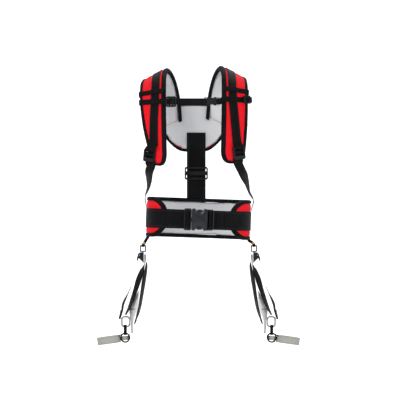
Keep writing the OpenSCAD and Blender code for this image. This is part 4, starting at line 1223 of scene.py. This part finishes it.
def make_sternum():
    """The sternum strap: its long webbing to the male half, the short ones at both pads, and the free tail."""
    y, z = STERNUM_Y + 1.6 + WEB_T / 2, STERNUM_Z
    bar, mouth = STERNUM_BUCKLE_Y - 3.4, STERNUM_BUCKLE_Y
    points = [[-78, y - 1.5, z], [-66, y - 0.4, z], [-50, y, z], [-20, y, z], [6, y, z], [13.6, y - 0.6, z],
              [16.6, y - 3, z], [17.6, bar + 1, z], [19, bar - 0.3, z], [20.6, bar + 1.2, z], [20.9, y - 3, z],
              [18.6, y + 0.8, z], [12, y + 2, z], [-10, y + 2.1, z], [-24, y + 2.1, z]]
    finish_across(level_webbing("sternum_webbing_strap", points), ("harness", "sternum_male"),
                  (-60, STERNUM_Y, 300), (5, STERNUM_Y, 300), "black_webbing", WEBBING, "sternum_webbing")
    left = [on_pad(-1, STERNUM_U, 0.02, 13.4)[0], [-80, y - 2, z - 1], [-76, STERNUM_Y - 4.5, z - 1],
            [-71, STERNUM_Y - 4.6, z - 1], [-65, STERNUM_Y - 1, z - 1], [-58, STERNUM_Y + 1.8, z - 1]]
    right = [on_pad(1, STERNUM_U, 0.03, 13.6)[0], [56.5, y - 1, z], [53, y - 2.2, z], [51, mouth, z],
             [49.8, bar + 0.6, z], [48.3, bar + 1, z], [47.4, mouth, z], [46.4, y - 1, z], [42, y + 0.5, z]]
    f = np.linspace(0.72, 1.1, 30)
    high = np.interp(f, [0.72, 0.78, 0.9, 1.0, 1.1], [17.2, 18.6, 22.2, 20, 17])
    path = evenly(on_pad(1, STERNUM_U, f, high), 1.5)[0]
    for piece in (level_webbing("sternum_slider_strap", left, width=STERNUM_WEB + 0.5),
                  level_webbing("sternum_buckle_strap", right, 1.2),
                  ribbon("sternum_tail", path, all_along(path, along_pad(1, STERNUM_U)), 15, THIN_WEB_T)):
        finish_piece(piece, "harness", "black_webbing", WEBBING)


make_sternum()

# ---- spine ----


def make_spine():
    """Wide webbing down the wearer's back, from the yoke to the belt."""
    path = through([[LEAN / 2, y, z] for y, z in SPINE_PATH], 3)
    piece = ribbon("spine_strap_webbing", path, all_along(path, [1, 0, 0]), SPINE_W, relief=belt_relief)
    finish_piece(piece, "harness", "black_webbing", BELT_WEBBING, "spine_strap")


make_spine()

# ---- carry straps at the hips ----
# Each path is x out from the hip ring's middle and z down from the ring; each turn is in degrees about z.
DROP_PATH = [[-1, -23], [-1, -35], [-0.5, -49], [6, -66], [14, -88], [22, -114], [31, -140], [41, -166],
             [49.5, -182]]
DROP_TURN = [0, 0, 2, 26, 36, 30, 24, 16, 8]
RETURN_PATH = [[-6.5, -23], [-7.5, -39], [-9, -54], [-3, -88], [1, -114], [5, -140], [10, -166], [17, -190],
               [22, -206]]
RETURN_TURN = [0, 0, 12, 24, 22, 20, 18, 12, 6]
SLING_PATH = [[11, -119], [17, -141], [25, -166], [28.5, -186], [29, -206], [28, -231]]
SLING_TURN = [2, 28, 52, 30, 15, 12]
TAIL_PATH = [[27, -107], [35, -125], [43, -141], [48.5, -155], [51, -171], [57, -193]]
TAIL_TURN = [0, 4, 20, 22, 18, 10]


def hanging_line(s, path, turn, start=0.0, stop=None, step=2.5, shift=0.0):
    """Middle and sideways direction of a hanging webbing between two of its rows."""
    p, a = np.array(path, float), np.radians(turn)
    rows = np.stack([p[:, 0] + HANG_X + shift, p[:, 0] * 0, p[:, 1] - HANG_Z, np.sin(a), np.cos(a), a * 0], 1)
    u = np.linspace(start, len(p) - 1 if stop is None else stop, 200)
    r = spline(rows, u)
    middle, across = on_hip(s, r[:, :3]), mirrored(unit(r[:, 3:]), s)
    return evenly(middle, step, across)


def cross_seam(name, line, at, width, out):
    """A row of stitches across a hanging webbing, a share at along it, on the face turned to out."""
    k = int(at * (len(line[0]) - 1))
    across = unit(line[1][k])
    along = unit(line[0][min(k + 1, len(line[0]) - 1)] - line[0][k - 1])
    up = np.cross(across, along)
    up = up if np.dot(up, out) > 0 else -up
    offs = np.linspace(-width / 2 + 1.5, width / 2 - 1.5, 20)[:, None]
    path = line[0][k] + across * offs + up * (WEB_T / 2 + 0.05)
    return stitching(name, path, all_along(path, up), pitch=2.4, length=2.3, radius=0.6)


def make_carry_straps(side, s):
    """The webbings below the cam buckle: drop strap, return strap, white sling and tail, and their ends."""
    def hang(name, line, width, slot, material, *nodes, thick=WEB_T):
        """A webbing along a hanging line, riding on the carry strap."""
        finish_piece(ribbon(name, line[0], line[1], width, thick), "carry_" + side, slot, material, *nodes)

    black, grey = ("black_webbing", WEBBING), ("grey_webbing", GREY_WEBBING)
    white = ("white_webbing", WHITE_WEBBING)
    drop = hanging_line(s, DROP_PATH, DROP_TURN, shift=-WEB_T / 2 - GAP - 2)
    hang(f"drop_strap_{side}_webbing", drop, WEB_W, *black, f"drop_strap_{side}")
    back = hanging_line(s, RETURN_PATH, RETURN_TURN)
    n = len(back[0])
    taper = np.interp(np.arange(n), [0, n - 11, n - 1], [WEB_W, WEB_W, 6])
    hang(f"return_strap_{side}_webbing", back, taper, *grey, f"return_strap_{side}")
    tip = [a[n - 6:] for a in back]
    hang(f"return_tip_{side}", tip, taper[n - 6:] + 1.6, *black, thick=WEB_T + 1.4)
    sling = hanging_line(s, SLING_PATH, SLING_TURN)
    hang(f"load_sling_{side}_webbing", sling, WEB_W, *white, f"load_sling_{side}")
    fold = hanging_line(s, SLING_PATH, SLING_TURN, 0.9, 2.25, shift=2.0)
    hang(f"sling_fold_{side}", fold, WEB_W - 1, *white)
    for k, at in enumerate((0.88, 0.93, 0.98)):
        seam = cross_seam(f"sling_seam_{side}_{k}", fold, at, WEB_W, [s * 0.8, -0.6, 0])
        finish_piece(seam, "carry_" + side, "black_webbing", BLACK_THREAD)
    tail_w = WEB_W * 0.6
    tail = hanging_line(s, TAIL_PATH, TAIL_TURN, shift=4)
    hang(f"strap_tail_{side}_webbing", tail, tail_w, *black, f"strap_tail_{side}")
    hem = hanging_line(s, TAIL_PATH, TAIL_TURN, 3.9, 5, shift=5.9)
    hang(f"tail_hem_{side}", hem, tail_w - 0.6, *black)


def make_hip_loop(side, s):
    """Tape from under the belt's edge, round the ring's upper bar and back up behind."""
    top = -BELT_H / 2 + BELT_RISE - s * math.sin(BELT_TILT) * WAIST_W + 3
    bend = 2.9
    a = np.radians([20, -20, -60, -90, -120, -160, -200])
    round_bar = np.stack([a * 0 + HANG_X, -bend * np.cos(a), -HANG_Z + bend * np.sin(a)], 1)
    front = [[WAIST_W + 7, -0.9, top], [WAIST_W + 10, -1.0, top - 6], [HANG_X - 3, -1.9, -HANG_Z + 6.5]]
    rear = [[HANG_X - 3, 1.9, -HANG_Z + 6.5], [WAIST_W + 10, 1.0, top - 6], [WAIST_W + 7, 0.9, top]]
    path = through(on_hip(s, np.concatenate([front, round_bar, rear])), 1.0)
    near_bar = ease(3, 9, path[:, 2] + HANG_Z)[:, None]
    across = np.array([s * 1.0, 0, 0]) * (1 - near_bar) + np.array([s * 0.75, 0, 0.65]) * near_bar
    finish_piece(ribbon(f"hip_loop_{side}_tape", path, across, 8, 1.4, spans=4), "harness", "black_webbing",
                 WEBBING, f"hip_loop_{side}")


def rounded_rectangle(w, h, r, start, stop, n=120):
    """Points along a rounded rectangle between two shares of its length, from its left side's middle, down."""
    q = np.linspace(0, math.pi / 2, 9)
    corner = lambda cx, cz, a: np.stack([cx + r * np.cos(a), cz + r * np.sin(a)], 1)
    x, z = w / 2 - r, h / 2 - r
    line = np.concatenate([[[-w / 2, 0]], corner(-x, -z, math.pi + q), corner(x, -z, -math.pi / 2 + q),
                           corner(x, z, q), corner(-x, z, math.pi / 2 + q), [[-w / 2, 0]]])
    s = lengths(line)
    at = np.linspace(start * s[-1], stop * s[-1], n)
    return np.stack([np.interp(at, s, line[:, 0]), np.interp(at, s, line[:, 1])], 1)


def make_hook(side, s):
    """Snap hook of round wire: a rounded rectangle, open at its inner side for the gate, a straight rod."""
    w, h = HOOK_W - WIRE, HOOK_H - WIRE
    around = 2 * (w + h) - (8 - 2 * math.pi) * HOOK_CORNER
    gate = HOOK_GATE / 2 / around
    line = rounded_rectangle(w, h, HOOK_CORNER, gate, 1 - gate)
    path = np.stack([HOOK_AT[0] + line[:, 0], line[:, 0] * 0, HOOK_AT[1] + HOOK_H / 2 + line[:, 1]], 1)
    radius = np.interp(np.arange(len(path)), [0, 6, len(path) - 8, len(path) - 1], [2.4, 2.2, 2.2, 2.5])
    wire = tube(f"steel_hook_{side}_wire", on_hip(s, path), radius)
    finish_piece(wire, "carry_" + side, "steel", STEEL, f"steel_hook_{side}")
    x = HOOK_AT[0] - HOOK_W / 2 + WIRE / 2
    z = HOOK_AT[1] + HOOK_H / 2 + np.linspace(-5.0, 5.4, 14)
    path = np.stack([z * 0 + x, z * 0, z], 1)
    radius = np.interp(z, [z[0], z[2], z[4], z[-1]], [1.7, 1.7, 1.35, 1.25])
    rod = tube(f"hook_gate_{side}_rod", on_hip(s, path), radius)
    finish_piece(rod, "gate_" + side, "steel", STEEL, f"hook_gate_{side}")


def make_link(side, s):
    """Tape link: a closed loop over the hook's lower bar and through the hand band's eye."""
    low = EYE_AT[1] + math.sqrt((EYE_R - BAND_T) ** 2 - (LINK_W / 2) ** 2) - GAP - WEB_T
    top = HOOK_AT[1] + WIRE / 2 + WIRE * 0.71 + GAP + WEB_T
    depth = HAND_W + 2 * GAP + 2 * WEB_T
    line = rounded_rectangle(depth + 2 - WEB_T, top - low - WEB_T, 2.4, 0, 1)[:-1]
    path = np.stack([line[:, 0] * 0 + EYE_AT[0], line[:, 0], line[:, 1] + (top + low) / 2], 1)
    piece = ribbon(f"connector_{side}_tape", on_hip(s, path), all_along(path, [1, 0, 0]), LINK_W, closed=True,
                   spans=4)
    finish_piece(piece, "hand_" + side, "black_webbing", WEBBING, f"connector_{side}")


def make_hand_band(side, s):
    """A flat oval band for the hand, tilted down outwards, with a row of stitches near each edge."""
    c, n = math.cos(BAND_DROP), math.sin(BAND_DROP)
    middle_x, middle_z = EYE_AT[0] + EYE_R - 1 + HAND_L, EYE_AT[1] - BAND_LOW

    def oval(a, long, wide, off=0):
        """Points at angles a round the tilted oval, off above its middle line."""
        x, y = long * np.cos(a), wide * np.sin(a)
        return on_hip(s, np.stack([middle_x + x * c + off * n, y, middle_z - x * n + off * c], 1))

    path = oval(np.linspace(0, 2 * math.pi, 96, endpoint=False), HAND_L - BAND_T / 2, HAND_D - BAND_T / 2)
    piece = ribbon(f"hand_band_{side}_webbing", path, all_along(path, [s * n, 0, c]), HAND_W, BAND_T - 0.8,
                   closed=True, relief=band_relief, spans=16)
    finish_piece(piece, "hand_" + side, "hand_webbing", HAND_WEBBING, f"hand_band_{side}")
    for label, off in (("upper", 7), ("lower", -7)):
        a = np.linspace(0.35, 2 * math.pi - 0.35, 120) + math.pi
        up = mirrored(unit(np.stack([np.cos(a) / HAND_L, np.sin(a) / HAND_D, a * 0], 1)), s)
        line = oval(a, HAND_L + 0.15, HAND_D + 0.15, off)
        thread = stitching(f"hand_band_seam_{side}_{label}", line, up, lift=-0.1)
        finish_piece(thread, "hand_" + side, "hand_webbing", GREY_THREAD)


def band_relief(c, s):
    """Three soft ridges along the hand band: the squared cosine of the place across."""
    return 0.35 * np.cos(c / HAND_W * math.pi * 3) ** 2


def make_hand_eye(side, s):
    """The eye that the hand band hangs by: a ring edged in black, a fold across it and a cord to the band."""
    body, eye = "hand_" + side, np.array([EYE_AT[0], 0, EYE_AT[1]])
    a = np.linspace(0, 2 * math.pi, 72, endpoint=False)
    ring = eye + (EYE_R - BAND_T / 2) * np.stack([np.cos(a), a * 0, np.sin(a)], 1)
    piece = ribbon(f"hand_eye_{side}_webbing", on_hip(s, ring), all_along(ring, [0, 1, 0]), HAND_W,
                   BAND_T - 0.6, closed=True)
    finish_piece(piece, body, "hand_webbing", HAND_WEBBING)
    for label, off in (("front", -1), ("rear", 1)):
        rim = on_hip(s, ring + np.array([0, off * (HAND_W / 2 - 0.6), 0]))
        edge = tube(f"hand_eye_edge_{side}_{label}", rim, 1.7, 10, closed=True)
        finish_piece(edge, body, "black_binding", BINDING)
    path = through(eye + [[-9.2, 2, -0.4], [-5, -4.5, -0.6], [2, -6.8, -1], [8, -4, -1.6], [9.8, 0, -2]], 1.2)
    fold = ribbon(f"hand_eye_fold_{side}", on_hip(s, path), all_along(path, [0.05 * s, 0, 1]), 11.5,
                  BAND_T - 1.2, relief=band_relief)
    finish_piece(fold, body, "hand_webbing", HAND_WEBBING)
    near = -HAND_W / 2
    path = through(eye + [[8.2, near + 0.4, 9.4], [14, near + 0.6, 6.4], [22, near - 3.2, 2.6]], 1.2)
    finish_piece(tube(f"hand_eye_cord_{side}", on_hip(s, path), 1.3, 10), body, "black_binding", BINDING)


def make_rivet_cap(side, s):
    """A shallow dome on the rivet's disc: its height falls as the square of the radius."""
    low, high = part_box("hip_rivets")
    rim, rise = 3.05, 1.1
    x0, y0 = (high.x if s > 0 else low.x) / MM - s * 3, low.y / MM + 0.2
    z0 = (low.z + high.z) / 2 / MM
    r = np.array([[rim], [2.9], [2.4], [1.7], [0.9], [0.12]])
    a = np.linspace(0, 2 * math.pi, 24, endpoint=False)
    out = rise * (1 - (r / rim) ** 2)
    points = np.stack([x0 + r * np.cos(a), y0 - out + a * 0, z0 + r * np.sin(a)], -1)
    cap = piece_from(f"rivet_cap_{side}", points.reshape(-1, 3), ring_faces(len(r), len(a)))
    finish_piece(cap, "harness", "brass", BRASS)


def make_lever_ribs(side, s):
    """Three grip ribs across the cam lever's thumb end."""
    low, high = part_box(f"cam_lever_{side}")
    for k in range(3):
        z = low.z / MM + 2.4 + 3.0 * k
        x = (high.x if s > 0 else low.x) / MM - s * (0.35 + 0.24 * k)
        y = np.linspace(low.y / MM + 2.5, high.y / MM - 2.5, 24)
        piece = tube(f"cam_lever_rib_{side}_{k}", np.stack([y * 0 + x, y, y * 0 + z], 1), 0.8, 8)
        finish_piece(piece, "lever_" + side, "black_plastic", PLASTIC)


for side_name, sign in SIDES.items():
    for make in (make_hip_loop, make_carry_straps, make_hook, make_link, make_hand_band, make_hand_eye,
                 make_rivet_cap, make_lever_ribs):
        make(side_name, sign)

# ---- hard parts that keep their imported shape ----


def soften(node, material, width=0.5):
    """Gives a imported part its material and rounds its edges; the part's own mesh isn't touched."""
    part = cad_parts[node]
    part.data.materials.clear()
    part.data.materials.append(material)
    weld = part.modifiers.new("weld", "WELD")
    weld.merge_threshold = 0.00001
    bevel = part.modifiers.new("rounded_edges", "BEVEL")
    bevel.width, bevel.segments = width * MM, 2
    bevel.limit_method, bevel.angle_limit = "ANGLE", math.radians(35)
    bevel.use_clamp_overlap = True
    part.modifiers.new("even_normals", "WEIGHTED_NORMAL").keep_sharp = True
    part.data.polygons.foreach_set("use_smooth", np.ones(len(part.data.polygons), bool))


# Each hard part's finish, and how far its edges are rounded
HARD = {"waist_buckle_female": (GLOSS_PLASTIC, 0.7), "waist_buckle_male": (PLASTIC, 0.6),
        "waist_prong_upper": (PLASTIC, 0.4), "waist_prong_lower": (PLASTIC, 0.4),
        "spine_adjuster": (PLASTIC, 0.6),
        "sternum_slider": (PLASTIC, 0.5), "sternum_buckle_male": (PLASTIC, 0.3),
        "sternum_prong_upper": (PLASTIC, 0.2), "sternum_prong_lower": (PLASTIC, 0.2),
        "sternum_buckle_female": (PLASTIC, 0.4), "sternum_triglide": (PLASTIC, 0.4), "hip_rivets": (BRASS, 0.2)}
for side_name in SIDES:
    HARD.update({f"ladder_lock_{side_name}": (PLASTIC, 0.8), f"hip_ring_{side_name}": (BLACK_METAL, 0.7),
                 f"cam_frame_{side_name}": (BLACK_METAL, 0.4), f"cam_pin_{side_name}": (STEEL, 0.2),
                 f"cam_lever_{side_name}": (PLASTIC, 0.6)})
for hard_node, (its_material, its_width) in HARD.items():
    soften(hard_node, its_material, its_width)

# ---- floor, light and background ----
FLOOR_DROP, FLOOR_REACH, BEND_Y, BEND_R, WALL_TOP = 90, 7000, 1500, 900, 5000
BACKDROP_GLOW, SKY_LIGHT, SKY_SEEN = 0.32, 0.68, 1.02
# Each lamp's name, place and aim in metres, size and power
LAMPS = [("key_light", (-1.4, -2.6, 2.1), (0, 0, 0.1), 1.6, 52),
         ("fill_light", (2.4, -2.2, 0.6), (0, 0, 0), 2.0, 20),
         ("back_light", (0.3, 2.0, 2.4), (0, 0, 0.1), 1.6, 40)]


def make_stage():
    """A pale floor that bends up behind into a wall by a quarter circle, and is clear from its back.

    It glows a little to the camera only, so that it is white without lighting the harness more.
    """
    low = CAD_BOX[0].z / MM - FLOOR_DROP
    a = np.linspace(-math.pi / 2, 0, 24)
    bend = np.stack([BEND_Y + BEND_R * np.cos(a), low + BEND_R + BEND_R * np.sin(a)], 1)
    path = np.concatenate([[[-FLOOR_REACH, low]], bend, [[BEND_Y + BEND_R, WALL_TOP]]])
    points = np.array([[x, y, z] for y, z in path for x in (-FLOOR_REACH, FLOOR_REACH)])
    k = np.arange(len(path) - 1)[:, None] * 2
    mesh = bpy.data.meshes.new("backdrop")
    mesh.from_pydata((points * MM).tolist(), [], np.concatenate([k, k + 1, k + 3, k + 2], 1).tolist())
    mesh.polygons.foreach_set("use_smooth", np.ones(len(mesh.polygons), bool))
    backdrop = bpy.data.objects.new("backdrop", mesh)
    bpy.context.scene.collection.objects.link(backdrop)
    material, tree, shader = new_material("pale_backdrop")
    shader.inputs["Base Color"].default_value = (0.92, 0.925, 0.94, 1)
    shader.inputs["Roughness"].default_value = 0.9
    shader.inputs["Specular IOR Level"].default_value = 0.1
    shader.inputs["Emission Color"].default_value = (1, 1, 1, 1)
    ray = tree.nodes.new("ShaderNodeLightPath")
    glow = math_node(tree, "MULTIPLY", ray.outputs["Is Camera Ray"], BACKDROP_GLOW)
    tree.links.new(glow, shader.inputs["Emission Strength"])
    clear, mix = tree.nodes.new("ShaderNodeBsdfTransparent"), tree.nodes.new("ShaderNodeMixShader")
    facing = tree.nodes.new("ShaderNodeNewGeometry")
    tree.links.new(facing.outputs["Backfacing"], mix.inputs[0])
    tree.links.new(shader.outputs[0], mix.inputs[1])
    tree.links.new(clear.outputs[0], mix.inputs[2])
    tree.links.new(mix.outputs[0], tree.nodes["Material Output"].inputs["Surface"])
    mesh.materials.append(material)


def make_lamp(name, place, aim, size, power):
    """A round soft light turned towards its aim."""
    data = bpy.data.lights.new(name, "AREA")
    data.shape, data.size, data.energy = "DISK", size, power
    lamp = bpy.data.objects.new(name, data)
    lamp.location = place
    direction = np.array(aim, float) - np.array(place, float)
    flat = math.hypot(direction[0], direction[1])
    lamp.rotation_euler = (math.pi / 2 + math.atan2(direction[2], flat), 0,
                           math.atan2(direction[1], direction[0]) - math.pi / 2)
    bpy.context.scene.collection.objects.link(lamp)


def make_lights():
    """A soft room, brighter to the camera than as light, and three lamps."""
    world = bpy.data.worlds.new("soft_room")
    world.use_nodes = True
    tree = world.node_tree
    sky, ray = tree.nodes["Background"], tree.nodes.new("ShaderNodeLightPath")
    sky.inputs[0].default_value = (0.97, 0.98, 1, 1)
    power = math_node(tree, "MULTIPLY_ADD", ray.outputs["Is Camera Ray"], SKY_SEEN - SKY_LIGHT, SKY_LIGHT)
    tree.links.new(power, sky.inputs[1])
    bpy.context.scene.world = world
    for lamp in LAMPS:
        make_lamp(*lamp)
    bpy.context.scene.view_settings.view_transform = "Standard"


make_stage()
make_lights()
